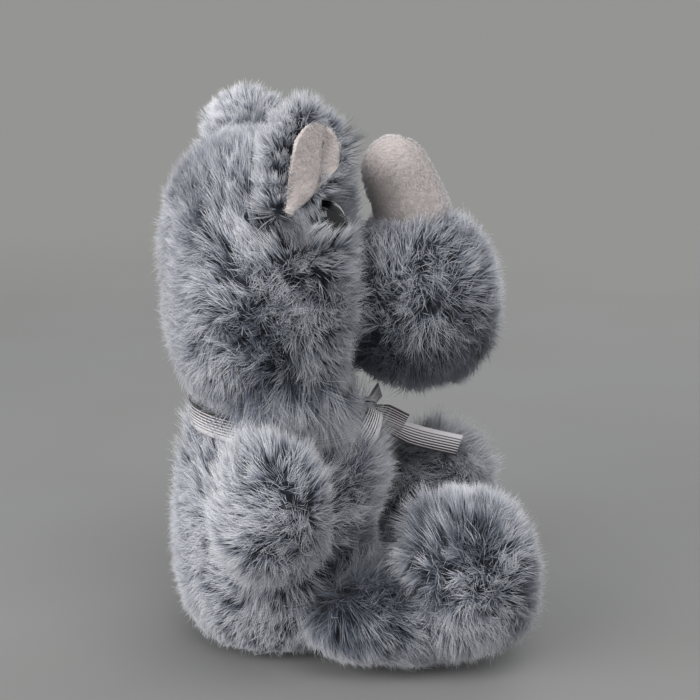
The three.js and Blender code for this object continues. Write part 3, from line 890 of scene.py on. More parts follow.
class Pile:
    """Grows long fibres on a skin mesh, as closed three-sided tapered strands.

    Each fibre belongs to a big tuft and to a small one. Three numbers in a constant are the shares
    of chance that the big tuft, the small tuft and the fibre itself have in a thing.
    """

    BIG_TUFT = 7.5
    SMALL_TUFT = 1.9
    TRIALS = 20000
    LAID_FLAT = 0.9
    STRAY = (0.6, 0.8, 0.45)
    UNEVEN = (0.08, 0.08, 0.04)
    TURN = (0.35, 0.7, 0.5)
    TONE = (0.15, 0.16, 0.06)
    PIT_DEPTH = 0.25
    PIT_TONE = 0.3
    PATCH_TONE = 0.11
    LAID_TONE = 0.16
    ROUGH_EDGE = 0.9
    LONG_HAIRS = 0.1
    MIDDLE_FLOOR = 0.7
    TIP_FLOOR = 0.4

    def __init__(self, finish: Finish) -> None:
        """Keeps the material that every fibre wears."""
        self.finish = finish

    def scatter(
        self, skin: Thing, count: int, rng: np.random.Generator
    ) -> tuple[Array, Array]:
        """Picks places spread evenly over a skin.

        Args:
            skin: the mesh to cover.
            count: how many places.
            rng: the source of chance.

        Returns:
            Places in millimetres, and the skin's normals there.
        """
        mesh = skin.data
        mesh.calc_loop_triangles()
        tri = np.empty(len(mesh.loop_triangles) * 3, np.int32)
        mesh.loop_triangles.foreach_get("vertices", tri)
        tri = tri.reshape(-1, 3)
        co = places(skin)
        normal = np.empty(len(mesh.vertices) * 3)
        mesh.vertices.foreach_get("normal", normal)
        normal = normal.reshape(-1, 3)
        a, b, c = co[tri[:, 0]], co[tri[:, 1]], co[tri[:, 2]]
        area = norm(np.cross(b - a, c - a), axis=1)
        edges = np.cumsum(area) / area.sum()
        steps = (np.arange(count) + rng.random(count)) / count
        chosen = tri[np.minimum(np.searchsorted(edges, steps), len(tri) - 1)]
        u, v = rng.random(count), rng.random(count)
        over = u + v > 1
        u[over], v[over] = 1 - u[over], 1 - v[over]
        shares = (1 - u - v, u, v)
        spots, facing = (
            sum(values[chosen[:, k]] * share[:, None] for k, share in enumerate(shares))
            for values in (co, normal)
        )
        return spots, unit(facing)

    def plant(
        self, skin: Thing, count: int, keep: Lie, rng: np.random.Generator
    ) -> tuple[Array, Array, float]:
        """Picks where the fibres of a piece start.

        Args:
            skin: the mesh that they grow on.
            count: how many to try for over the kept area.
            keep: tells where fibres grow.
            rng: the source of chance.

        Returns:
            Places, the normals there, and the area that they cover.
        """
        share = max(keep(*self.scatter(skin, self.TRIALS, rng)).mean(), 0.02)
        tried = int(count / share)
        spots, facing = self.scatter(skin, tried, rng)
        kept = keep(spots, facing)
        covered = sum(p.area for p in skin.data.polygons) / MM**2
        return spots[kept], facing[kept], kept.sum() * covered / tried

    def tufts(self, spots: Array, spacing: float, area: float, rng: np.random.Generator) -> Array:
        """Sorts places into tufts.

        Args:
            spots: the places.
            spacing: about how far apart the tufts stand.
            area: of the skin that they cover.
            rng: the source of chance.

        Returns:
            The number of the place at the heart of each place's tuft.
        """
        count = int(min(len(spots), max(8, area / spacing**2)))
        hearts = rng.choice(len(spots), count, replace=False)
        tree = kdtree.KDTree(count)
        for i, k in enumerate(hearts):
            tree.insert(spots[k], i)
        tree.balance()
        near = np.fromiter((tree.find(p)[1] for p in spots.tolist()), np.int64, len(spots))
        return hearts[near]

    def grow(
        self, name: str, skin: Thing, count: int, comb: Comb, seed: int, keep: Lie,
        obstacles: Sequence[Obstacle] = (),
    ) -> Thing:
        """Grows the fibres of one piece.

        Args:
            name: the new piece's name.
            skin: the mesh that they grow on.
            count: how many fibres to try for over the kept area.
            comb: how they lie.
            seed: of the chance in them.
            keep: tells from places and normals where fibres grow.
            obstacles: what they part round.

        Returns:
            The fur as one mesh.
        """
        rng = np.random.default_rng(seed)
        spots, facing, area = self.plant(skin, count, keep, rng)
        big = self.tufts(spots, self.BIG_TUFT, area, rng)
        small = self.tufts(spots, self.SMALL_TUFT, area, rng)
        n = len(spots)

        # The lie: brushed pile is orderly, and the rest stands up and strays by tufts.
        sweep = comb.brush(spots, facing)
        if comb.lift > 0:
            sweep = sweep - (sweep * facing).sum(1, keepdims=True) * facing
        laid = rise(norm(sweep, axis=1, keepdims=True), 0.0, self.LAID_FLAT)
        stray = rng.normal(size=(n, 3))
        a, b, c = self.STRAY
        toss = a * stray[big] + b * stray[small] + c * rng.normal(size=(n, 3))
        stand = facing * comb.lift * (1.25 - 0.5 * laid)
        way = unit(stand + sweep + comb.unruly * (1.5 - 0.7 * laid) * toss)

        # The length, which dips where the pile has pits.
        chance = rng.normal(size=n)
        a, b, c = self.UNEVEN
        uneven = 1 + a * chance[big] + b * chance[small] + c * rng.normal(size=n)
        patch = mottle(spots)
        pit = rise(-patch, 0.8, 1.0) * (1 - 0.8 * laid[:, 0])
        length = comb.length * np.clip(uneven, 0.5, 1.3) * (1 - self.PIT_DEPTH * pit)
        if comb.trim is not None:
            length = length * comb.trim(spots, facing)

        # The bend: each fibre rises, turns aside, and meets its tuft at the tip.
        heart = spots[small]
        heart_tip = heart + way[small] * length[small][:, None]
        curl = rng.normal(size=(n, 3))
        a, b, c = self.TURN
        bend = a * curl[big] + b * curl[small] + c * curl
        down = unit(way + 0.3 * sweep + comb.curl * (1.6 - 0.8 * laid) * bend)
        middle = spots + unit(way + 0.4 * facing) * (0.52 * length)[:, None]
        tip = middle + down * (0.5 * length)[:, None]
        gather = comb.gather * rng.uniform(0.3, 1.1, n)[:, None]
        tip = tip + (heart_tip - tip) * gather
        middle = middle + (heart + (heart_tip - heart) * 0.55 - middle) * gather * 0.3

        # The cut, to the form's outline, which a few long hairs miss.
        if comb.envelope is not None:
            rough = self.ROUGH_EDGE
            limit = comb.edge + rough * chance[small] + rough * rng.normal(size=n)
            long = rng.random(n) < self.LONG_HAIRS
            limit += np.where(long, rng.uniform(0.5, 3.4, n), 0.0)
            inside = comb.envelope(spots)
            for _ in range(2):
                depth = np.maximum(comb.envelope(tip) - inside, 1e-3)
                size = np.clip((limit - inside) / depth, 0.45, 1.0)[:, None]
                tip = spots + (tip - spots) * size
                middle = spots + (middle - spots) * size
        lean = rng.random(n)
        for thing in obstacles:
            middle = thing.part(middle, lean)
            tip = thing.part(tip, lean)
        middle[:, 2] = np.maximum(middle[:, 2], self.MIDDLE_FLOOR)
        tip[:, 2] = np.maximum(tip[:, 2], self.TIP_FLOOR)

        # The tone, which tufts and patches share.
        even = 1.3 - 0.75 * laid[:, 0]
        a, b, c = self.TONE
        tone = comb.tone + even * (a * chance[big] + b * chance[small]) + c * rng.normal(size=n)
        tone = tone + self.LAID_TONE * (laid[:, 0] - 0.5)
        tone = tone + self.PATCH_TONE * even * patch - self.PIT_TONE * pit
        # Each form's shift in tone by place, on most forms painted light and shade.
        if comb.shade is not None:
            tone = tone + comb.shade(spots, facing)
        width = comb.width * rng.uniform(0.7, 1.25, n)
        lit = facing if comb.lift > 0 else unit(0.4 * facing + unit(spots * LEVEL))
        bent = np.stack([spots, middle, tip])
        obj = self.strands(name, bent, width, np.clip(tone, 0.03, 0.97), lit, rng)
        LOG.info("%s: %d fibres", name, n)
        return obj

    def strands(
        self, name: str, bent: Array, width: Array, tone: Array, facing: Array,
        rng: np.random.Generator,
    ) -> Thing:
        """Builds the fibres: each is a spindle, a ring of three corners between two points.

        Args:
            name: the mesh's name.
            bent: where each fibre starts, the point that it bends over, and where it ends.
            width: its width at its middle.
            tone: its place across the colour map.
            facing: the normal at its root, which its shade leans to, as light does in a deep pile.
            rng: the source of chance.

        Returns:
            The object, with its map of tone and height.
        """
        root, middle, tip = bent
        n = len(root)
        bend = 0.5
        on = (1 - bend) ** 2 * root + 2 * bend * (1 - bend) * middle + bend**2 * tip
        along = unit(tip - root)
        side = unit(np.cross(along, rng.normal(size=(n, 3))))
        up = np.cross(along, side)
        corners = np.empty((n, 5, 3))
        shade = np.empty((n, 5, 3))
        corners[:, 0] = root
        shade[:, 0] = facing
        shade[:, 4] = unit(facing + 0.5 * along)
        for k in range(3):
            angle = 2 * math.pi * k / 3
            ray = math.cos(angle) * side + math.sin(angle) * up
            corners[:, 1 + k] = on + ray * (width / 2)[:, None]
            shade[:, 1 + k] = unit(facing + 0.3 * ray)
        corners[:, 4] = tip
        pattern = np.array([1, 2, 4, 2, 3, 4, 3, 1, 4, 2, 1, 0, 3, 2, 0, 1, 3, 0])
        loops = (np.arange(n)[:, None] * 5 + pattern[None, :]).ravel().astype(np.int32)
        mesh = bpy.data.meshes.new(name)
        mesh.vertices.add(n * 5)
        mesh.vertices.foreach_set("co", (corners.reshape(-1) * MM).astype(np.float32))
        mesh.loops.add(len(loops))
        mesh.loops.foreach_set("vertex_index", loops)
        mesh.polygons.add(n * 6)
        mesh.polygons.foreach_set("loop_start", np.arange(n * 6, dtype=np.int32) * 3)
        mesh.polygons.foreach_set("use_smooth", np.ones(n * 6, bool))
        mesh.update(calc_edges=True)
        mesh.normals_split_custom_set_from_vertices(shade.reshape(-1, 3).astype(np.float32))
        half = 0.006
        upper = [(-half, bend), (half, bend), (0.0, 0.99)]
        lower = [(half, bend), (-half, bend), (0.0, 0.01)]
        uv = np.tile(np.array(upper * 3 + lower * 3), (n, 1, 1))
        uv[:, :, 0] += tone[:, None]
        layer = mesh.uv_layers.new(name="OFBake")
        layer.data.foreach_set("uv", uv.reshape(-1).astype(np.float32))
        mesh.materials.append(self.finish)
        return link(bpy.data.objects.new(name, mesh))


# Skins


class SkinMaker:
    """Makes the stuffed skins that the fur grows on."""

    VOXEL = 4.5
    PRESSURE = 4.0
    FRAMES = 20

    def __init__(self, finish: Finish) -> None:
        """Keeps the material of the backing."""
        self.finish = finish

    def ball(self, name: str, form: Form, inset: float, detail: int = 5) -> Thing:
        """Makes a skin from a form.

        Args:
            name: the piece's name.
            form: the form that it follows.
            inset: how far inside the form it lies.
            detail: subdivisions of the ball that it starts from.

        Returns:
            The skin.
        """
        deselect()
        bpy.ops.mesh.primitive_ico_sphere_add(subdivisions=detail, radius=1.0)
        obj = bpy.context.object
        obj.name = name
        obj.data.name = name
        move_to(obj, form.surface(places(obj) * MM, inset))
        return obj

    def lathe(self, name: str, form: BodyForm, inset: float) -> Thing:
        """Makes the torso's skin by spinning its profile.

        Args:
            name: the piece's name.
            form: the torso's form.
            inset: how far inside the form it lies.

        Returns:
            The skin.
        """
        heights = np.concatenate([[inset * 0.35], np.linspace(1.5, form.top - 1.0, 30)])
        radii = form.radius(heights) - inset
        radii[0] -= 4.0
        around = 48
        angles = ring_angles(around)
        round_x, round_y = np.cos(angles), np.sin(angles)
        rings = [
            np.stack([r * round_x, r * round_y * form.depth_share, np.full(around, z)], -1)
            for r, z in zip(radii, heights)
        ]
        points = np.concatenate([*rings, [[0, 0, heights[0]]], [[0, 0, heights[-1]]]])
        bottom, top = len(points) - 2, len(points) - 1
        last = (len(heights) - 1) * around
        faces = []
        for low in range(0, last, around):
            for i in range(around):
                k = (i + 1) % around
                faces.append((low + i, low + k, low + around + k, low + around + i))
        for i in range(around):
            k = (i + 1) % around
            faces += [(bottom, k, i), (top, last + i, last + k)]
        return mesh_from(name, points, faces)

    def plump(self, obj: Thing, cap: float) -> None:
        """Fills a skin like a stuffed one, by cloth simulation under pressure.

        Args:
            obj: the skin.
            cap: how far a point may move, in millimetres.
        """
        size = self.VOXEL * MM
        apply_modifier(obj, "REMESH", mode="VOXEL", voxel_size=size, use_smooth_shade=True)
        before = places(obj)
        activate(obj)
        modifier = obj.modifiers.new("Cloth", "CLOTH")
        settings = modifier.settings
        settings.quality = 4
        settings.use_pressure = True
        settings.uniform_pressure_force = self.PRESSURE
        settings.effector_weights.gravity = 0.0
        modifier.point_cache.frame_end = self.FRAMES
        for number in range(1, self.FRAMES + 1):
            bpy.context.scene.frame_set(number)
        bpy.ops.object.modifier_apply(modifier=modifier.name)
        bpy.context.scene.frame_set(1)
        shift = places(obj) - before
        far = norm(shift, axis=1, keepdims=True)
        move_to(obj, before + shift * np.minimum(1.0, cap / np.maximum(far, 1e-6)))

    def dress(
        self, obj: Thing, body: str, nodes: Sequence[str], fill: float = 0.8
    ) -> None:
        """Finishes a skin: shading, material, body and the nodes that it stands for.

        Args:
            obj: the skin.
            body: the body that it rides on.
            nodes: the CAD nodes that it replaces.
            fill: how full it is stuffed; not used.
        """
        smooth(obj)
        obj.data.materials.clear()
        obj.data.materials.append(self.finish)
        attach(obj, body)
        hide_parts(*nodes)
        LOG.info("%s: skin with %d faces", obj.name, len(obj.data.polygons))


@dataclass
class Workshop:
    """What every sub-assembly works with."""

    skins: SkinMaker
    pile: Pile
    finishes: dict[str, Finish]

    def fur(self, obj: Thing, body: str) -> None:
        """Attaches a piece of fur to its body."""
        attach(obj, body)


HEAD_FORM = Form((0.0, 5.0, 162.0), (52.0, 42.0, 60.0), 2.7, HEAD_TURN, front=37.0)
SNOUT_FORM = Form((0.0, -65.5, 147.0), (38.0, 35.0, 40.5), 2.2, HEAD_TURN)
TORSO_FORM = BodyForm()


def arm_form(side: Side) -> Form:
    """The form of an arm."""
    return Form((side.value * 62.0, 6.0, 76.0), (19.5, 25.5, 31.5))


def thigh_form(side: Side) -> Form:
    """The form of a thigh with its haunch."""
    return Form((side.value * 42.5, -44.0, 22.5), (25.0, 38.0, 22.5), 2.4)


def foot_form(side: Side) -> Form:
    """The form of a foot."""
    return Form((side.value * 45.0, -77.0, 37.5), (25.5, 31.0, 38.0))


def head_reach(away: float, height: float) -> float:
    """How far sideways the solid head's surface lies from its middle.

    Args:
        away: how far forward or back of the middle.
        height: how far above it.

    Returns:
        The distance.
    """
    wide, deep, tall = SOLID_HEAD_HALVES
    power = SOLID_HEAD_FULLNESS
    rest = (away / deep) ** power + (height / tall) ** power
    return wide * (1 - rest) ** (1 / power)


def eye_axis(side: Side) -> tuple[Array, Array]:
    """Where an eye sits on the head.

    Args:
        side: which eye.

    Returns:
        The middle of its seat and the way it looks, in the part's frame.
    """
    forward, height, sunk = 15.0, 27.0, 2.1
    power = SOLID_HEAD_FULLNESS
    offset = np.array([side.value * head_reach(forward, height), -forward, height])
    slope = np.sign(offset) * np.abs(offset) ** (power - 1)
    look = unit(slope / np.array(SOLID_HEAD_HALVES) ** power)
    seat = np.array(HEAD_FORM.middle) + offset - sunk * look
    return turned(seat[None], HEAD_TURN)[0], spun(look[None], HEAD_TURN)[0]


@dataclass
class EarShape:
    """The cupped leaf of an ear, in the same sizes as the solid."""

    side: Side
    width: float = 39.0
    height: float = 47.0
    thickness: float = 8.0
    cup: float = 9.0
    cup_tip: float = 3.0
    facing: float = math.radians(20)
    lean: float = math.radians(28)
    root_back: float = 8.0
    root_height: float = 29.0

    def root(self) -> Array:
        """The foot of the ear on the head's side, before the head is turned."""
        reach = self.side.value * head_reach(self.root_back, self.root_height)
        return np.array(HEAD_FORM.middle) + np.array([reach, self.root_back, self.root_height])

    def axes(self) -> tuple[Array, Array]:
        """The ways out from the head and forwards, before the head is turned."""
        sign, s, c = self.side.value, math.sin(self.facing), math.cos(self.facing)
        return np.array([sign * c, -s, 0.0]), np.array([-sign * s, -c, 0.0])

    def curl(self, across: Array, up: Array) -> Array:
        """How far the middle sheet is cupped outwards at a place."""
        bow = self.cup + (self.cup_tip - self.cup) * up / self.height
        return bow * (across / (self.width / 2)) ** 2

    def point(self, across: Array, up: Array, lift: Array) -> Array:
        """A point on the ear.

        Args:
            across: millimetres across it, forwards.
            up: millimetres up it.
            lift: millimetres outwards from its middle sheet.

        Returns:
            The point in the part's frame.
        """
        out, forward = self.axes()
        x = across * math.cos(self.lean) + up * math.sin(self.lean)
        z = -across * math.sin(self.lean) + up * math.cos(self.lean)
        far = self.curl(across, up) + lift
        spot = self.root() + x[..., None] * forward + far[..., None] * out + z[..., None] * UP
        return turned(spot, HEAD_TURN)

    def places(self, points: Array) -> tuple[Array, Array, Array]:
        """Where points lie on the ear.

        Args:
            points: the points, in the part's frame.

        Returns:
            How far they lie across, up and out from its middle sheet.
        """
        out, forward = self.axes()
        q = turned(points, -HEAD_TURN) - self.root()
        x, z = q @ forward, q[:, 2]
        across = x * math.cos(self.lean) - z * math.sin(self.lean)
        up = x * math.sin(self.lean) + z * math.cos(self.lean)
        return across, up, q @ out - self.curl(across, up)

    def leaf(self, t: Array, root: float, spread: float = 1.7) -> Array:
        """Half the width of the leaf at a share of its height."""
        wide = swell(2 * t - 1, 2.3) * (root + (1 - root) * np.minimum(1, t * spread))
        return np.maximum(0.12, wide)

    def rim(self, across: Array, up: Array) -> Array:
        """How near a place is to the ear's edge: 0 in its middle and about 1 on the edge."""
        return np.hypot(across / (self.width / 2), (up - 23) / 23)

    def outward(self) -> Array:
        """The way that the ear's front faces."""
        return spun(self.axes()[0][None], HEAD_TURN)[0]


def sheet_mesh(name: str, grid: Array, thickness: Array, ring: bool = False) -> Thing:
    """Makes a closed sheet from a grid of points.

    Args:
        name: the object's name.
        grid: points by row and column.
        thickness: of the sheet at each point.
        ring: whether the last column joins the first.

    Returns:
        The object, with a "weave" map of column and row shares.
    """
    rows, columns = grid.shape[:2]
    du = np.roll(grid, -1, 1) - np.roll(grid, 1, 1) if ring else np.gradient(grid, axis=1)
    dv = np.gradient(grid, axis=0)
    half = unit(np.cross(du, dv)) * thickness[..., None] / 2
    points = np.concatenate([(grid + half).reshape(-1, 3), (grid - half).reshape(-1, 3)])
    wide = columns if ring else columns - 1
    faces, maps = [], []

    def add(*corners: tuple[int, int, int]) -> None:
        """Adds a face by the row, column and side of its corners."""
        faces.append([k * rows * columns + j * columns + i % columns for j, i, k in corners])
        maps.extend((i / wide, j / (rows - 1)) for j, i, _ in corners)

    for j in range(rows - 1):
        for i in range(wide):
            spots = [(j, i), (j, i + 1), (j + 1, i + 1), (j + 1, i)]
            add(*((a, b, 0) for a, b in spots))
            add(*((a, b, 1) for a, b in reversed(spots)))
    rims = [[(0, i + 1), (0, i)] for i in range(wide)]
    rims += [[(rows - 1, i), (rows - 1, i + 1)] for i in range(wide)]
    if not ring:
        rims += [[(j, 0), (j + 1, 0)] for j in range(rows - 1)]
        rims += [[(j + 1, columns - 1), (j, columns - 1)] for j in range(rows - 1)]
    for a, b in rims:
        add((*a, 0), (*b, 0), (*b, 1), (*a, 1))
    obj = mesh_from(name, points, faces)
    uv = obj.data.uv_layers.new(name="weave")
    uv.data.foreach_set("uv", np.array(maps).ravel())
    return obj


@dataclass
class Torso:
    """The body: a stuffed skin, its fur, and a plush throat inside the ribbon."""

    inset: float = PILE_INSET
    give: float = 1.5
    floor: float = 0.3
    strands: int = 54000
    fur_top: float = 95.0
    throat_foot: float = 103.0
    throat_top: float = 118.0
    throat_radius: float = 29.5
    throat_wall: float = 2.0

    def build(self, shop: Workshop) -> None:
        """Makes the torso's pieces.

        Args:
            shop: the workshop.
        """
        skin = shop.skins.lathe("torso_plush", TORSO_FORM, self.inset)
        shop.skins.plump(skin, self.give)
        points = places(skin)
        points[:, 2] = np.maximum(points[:, 2], self.floor)
        move_to(skin, points)
        shop.skins.dress(skin, "torso", ["torso_skin"])
        comb = Comb(self.sweep, trim=self.trim, envelope=self.envelope, shade=self.shade)
        for name, front, seed in (("torso_fur_front", True, 11), ("torso_fur_back", False, 12)):
            keep = partial(self.keep, front=front)
            shop.fur(shop.pile.grow(name, skin, self.strands // 2, comb, seed, keep), "torso")
        self.throat(shop)

    def keep(self, spots: Array, facing: Array, front: bool) -> Array:
        """Where fibres grow: on one half, below the ribbon, and clear of the legs.

        Args:
            spots: places on the skin.
            facing: the normals there; not used.
            front: whether the half is the front one.

        Returns:
            Whether they grow at each place.
        """
        x, y, z = spots.T
        legs = (np.abs(x) > 19) & (np.hypot(y + 26, z - 19.5) < 18)
        return ((y < 4) == front) & (z < self.fur_top) & (z > 1.0) & ~legs

    def sweep(self, spots: Array, facing: Array) -> Array:
        """The pile hangs a little, and stands up round the ribbon."""
        way = Whorl((-47.0, -4.0, 52.0), 24.0, 0.85, 0.2).sweep(spots, facing)
        return way + rise(spots[:, 2], 74, 12)[:, None] * (1.1 * UP)

    def envelope(self, spots: Array) -> Array:
        """How far places lie past the body, which swells over the ribbon's lower edge.

        Args:
            spots: the places.

        Returns:
            The distances.
        """
        _, y, z = spots.T
        outlines = [TORSO_FORM.beyond] + [thigh_form(side).beyond for side in Side]
        under = blob((z, 48, 9)) * fall(y, -20, 10)
        past = drawn_in(merged(5.0, *outlines), 26.0, 6.0)(spots)
        return past - 11.0 * rise(z, 82, 10) - 9.5 * self.belly(spots) + 4.0 * under

    def belly(self, spots: Array) -> Array:
        """How much a place belongs to the belly, where the pile stands out furthest."""
        x, y, z = spots.T
        return fall(y, -14, 16) * blob((z, 81, 15)) * fall(np.abs(x), 44, 14)

    def trim(self, spots: Array, facing: Array) -> Array:
        """The pile is pressed short under the seat, and longest on the belly."""
        high = spots[:, 2]
        longer = 1 + 0.65 * self.belly(spots) + 0.25 * rise(high, 84, 6)
        return (rise(high, 0, 9) * 0.55 + 0.45) * longer

    def shade(self, spots: Array, facing: Array) -> Array:
        """The pile is paler up the back, painted paler on the chest and at the seat as light, and
        painted dark down in the lap as shade.

        Args:
            spots: places on the skin.
            facing: the normals there; not used.

        Returns:
            The shift in tone.
        """
        _, y, z = spots.T
        # Painted light on the chest and at the seat, painted shade in the lap; the back is paler.
        back = rise(y, 2, 25)
        lap = fall(y, -2, 15) * fall(z, 58, 14)
        chest = fall(y, 0, 15) * rise(z, 55, 12)
        seat = fall(z, 30, 15) * rise(y, -14, 10)
        return 0.34 * back + 0.7 * np.maximum(seat - back, 0) - 0.8 * lap + 0.8 * chest

    def throat(self, shop: Workshop) -> None:
        """Makes the plush sleeve of the neck, between the head and the torso.

        Args:
            shop: the workshop.
        """
        sides, rows = 48, 9
        angles = np.linspace(0, 2 * math.pi, sides + 1)[:-1]
        heights = np.linspace(self.throat_foot, self.throat_top, rows)
        bulge = self.throat_radius + 2.5 * np.sin(np.linspace(0, math.pi, rows))
        rings = [
            np.stack([r * np.cos(angles), r * np.sin(angles), np.full(sides, z)], -1)
            for r, z in zip(bulge, heights)
        ]
        wall = np.full((rows, sides), self.throat_wall)
        sleeve = sheet_mesh("neck_plush", np.stack(rings), wall, ring=True)
        tidy_normals(sleeve)
        smooth(sleeve)
        sleeve.data.materials.append(shop.skins.finish)
        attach(sleeve, "neck")
        LOG.info("neck_plush made")


@dataclass
class Head:
    """The head: its skin and fur, with the eyes."""

    inset: float = PILE_INSET
    give: float = 1.5
    underside: float = 116.0
    jowl: float = 5.0
    strands: int = 78000
    fringe_strands: int = 8000
    lash_strands: int = 1400
    eye_radius: float = 9.8
    eye_dome: float = 6.8
    shank_radius: float = 2.3
    shank_length: float = 13.0

    def build(self, shop: Workshop) -> None:
        """Makes the head's pieces.

        Args:
            shop: the workshop.
        """
        skin = shop.skins.ball("head_plush", replace(HEAD_FORM, floor=self.underside), self.inset)
        points = places(skin)
        low = fall(points[:, 2], 162, 40)
        points[:, 2] = np.maximum(points[:, 2] - self.jowl * low, self.underside)
        move_to(skin, points)
        shop.skins.plump(skin, self.give)
        shop.skins.dress(skin, "head", ["head_skin"])
        comb = Comb(self.sweep, trim=self.trim, envelope=self.envelope, shade=self.shade)
        things = self.obstacles()
        for part, name in enumerate(("head_fur_right", "head_fur_left", "head_fur_back")):
            keep = partial(self.keep, part=part)
            count, seed = self.strands // 3, 21 + part
            shop.fur(shop.pile.grow(name, skin, count, comb, seed, keep, things), "head")
        self.fringe(shop, skin)
        for side in Side:
            self.eye(shop, side)
            self.lash(shop, skin, side)

    def obstacles(self) -> list[Obstacle]:
        """What the head's fur parts round: the eyes and the horn.

        Returns:
            The obstacles.
        """
        things = []
        radii = (self.eye_radius * 0.8, self.eye_radius * 0.95)
        for side in Side:
            seat, look = eye_axis(side)
            things.append(Obstacle(tuple(seat - 8 * look), tuple(seat + 16 * look), *radii))
        return things + [Horn().obstacle()]

    def envelope(self, spots: Array) -> Array:
        """How far places lie past the head, which spreads a little where it hangs over the ribbon.

        Args:
            spots: the places.

        Returns:
            The distances.
        """
        _, y, z = spots.T
        front = fall(y, 18, 12)
        brow = rise(z, 172, 14) * fall(y, -12, 10)
        past = merged(2.0, HEAD_FORM.beyond, SNOUT_FORM.beyond)(spots)
        return past - (2.0 + 11.0 * front) * fall(z, 124, 14) - 6.0 * brow

    def keep(self, spots: Array, facing: Array, part: int) -> Array:
        """Where fibres grow: on one third, and neither under the snout nor on the underside.

        Args:
            spots: places on the skin.
            facing: the normals there; not used.
            part: which third: 0 the right one, 1 the left one, 2 the back.

        Returns:
            Whether they grow at each place.
        """
        x, y, z = turned(spots, -HEAD_TURN).T
        third = np.where(y > 22, 2, np.where(x < 0, 0, 1))
        free = (SNOUT_FORM.beyond(spots) > -5) & ~((z < 118) & (np.hypot(x, y) < 24))
        for side in Side:
            seat, look = eye_axis(side)
            away = spots - seat
            deep = away @ look
            away -= deep[:, None] * look
            free &= (norm(away, axis=1) > self.eye_radius - 3.0) | (deep < -20)
        return (third == part) & free

    def sweep(self, spots: Array, facing: Array) -> Array:
        """The pile lies away from the cheeks, and hangs over the ribbon below them.

        Args:
            spots: places on the skin.
            facing: the normals there.

        Returns:
            The way that it is brushed.
        """
        cheek = Whorl((-52.0, 2.0, 150.0), 34.0, 0.95, 0.0, HEAD_TURN, 0.6)
        low = fall(turned(spots, -HEAD_TURN)[:, 2], 136, 16)[:, None]
        return cheek.sweep(spots, facing) * (1 - low) - low * (1.1 * UP)

    def shade(self, spots: Array, facing: Array) -> Array:
        """The pile is a little darker up the back and top of the head, and painted darker on the
        brow and low on the cheek as shade.

        Args:
            spots: places on the skin.
            facing: the normals there; not used.

        Returns:
            The shift in tone.
        """
        z, local_y = spots[:, 2], turned(spots, -HEAD_TURN)[:, 1]
        # Painted shade on the brow and low on the cheek; the back and the top are a little darker.
        back = 0.17 * rise(spots[:, 1], 5, 20)
        brow = fall(local_y, -14, 8) * rise(z, 160, 12)
        low = blob((local_y, 6, 12), (z, 133, 9))
        return 0.03 - back - 0.24 * rise(z, 182, 18) - 0.35 * brow - 0.25 * low

    def trim(self, spots: Array, facing: Array) -> Array:
        """The pile is clipped near the eyes, and longer on the brow.

        Args:
            spots: places on the skin.
            facing: the normals there; not used.

        Returns:
            The share of its length that it keeps.
        """
        _, y, z = turned(spots, -HEAD_TURN).T
        size = 1 + 0.3 * rise(z, 172, 12) * fall(y, -10, 8)
        for side in Side:
            near = norm(spots - eye_axis(side)[0], axis=1)
            size *= 0.55 + 0.45 * rise(near, 12, 12)
        return size

    def hang(self, spots: Array, facing: Array) -> Array:
        """The fringe falls outwards over the ribbon, wherever it starts.

        Args:
            spots: places on the skin.
            facing: the normals there; not used.

        Returns:
            The way that it is brushed.
        """
        flat = spots * LEVEL
        out = np.clip((44 - norm(flat, axis=1)) / 26, 0.1, 0.55)[:, None]
        return unit(flat) * out - np.sqrt(1 - out**2) * UP

    def fringe(self, shop: Workshop, skin: Thing) -> None:
        """Grows the longer pile under the cheeks, which hides the ribbon beside the throat.

        Args:
            shop: the workshop.
            skin: the head's skin.
        """

        def keep(spots: Array, facing: Array) -> Array:
            """Where it grows: round the head's lower edge, but for the nape and the chin."""
            x, y, z = spots.T
            beside = (y < 15) & (y > -20) & ~((np.abs(x - 3) < 14) & (y < 0))
            return (z < 131) & (np.hypot(x, y) > 24) & beside

        comb = Comb(self.hang, 26.5, lift=0.0, unruly=0.45, curl=0.7, gather=0.4, tone=0.56)
        fur = shop.pile.grow("head_fur_fringe", skin, self.fringe_strands, comb, 24, keep)
        shop.fur(fur, "head")

    def lash(self, shop: Workshop, skin: Thing, side: Side) -> None:
        """Grows the pale lock of the cheek that lies over the lower half of an eye.

        Args:
            shop: the workshop.
            skin: the head's skin.
            side: which eye.
        """
        seat, look = eye_axis(side)
        up = unit(UP - look[2] * look)
        ahead = np.cross(up, look) * -side.value

        def keep(spots: Array, facing: Array) -> Array:
            """Where it grows: in a crescent under the eye."""
            away = spots - seat
            low, fore = away @ up, away @ ahead
            reach = np.hypot(low, fore)
            under = (low < -5.5 - 0.2 * fore) & (away @ look > -20)
            return (reach > 10.0) & (reach < 15.0) & under

        def brush(spots: Array, facing: Array) -> Array:
            """It rises over the dome towards its middle."""
            fore = (spots - seat) @ ahead
            return unit(seat + look * 13.0 - up * 0.5 + ahead * (fore * 0.7)[:, None] - spots)

        comb = Comb(brush, 20.0, lift=0.0, unruly=0.07, curl=0.12, tone=0.97)
        name, seed = f"head_fur_lash_{side.label}", 27 + side.value
        shop.fur(shop.pile.grow(name, skin, self.lash_strands, comb, seed, keep), "head")

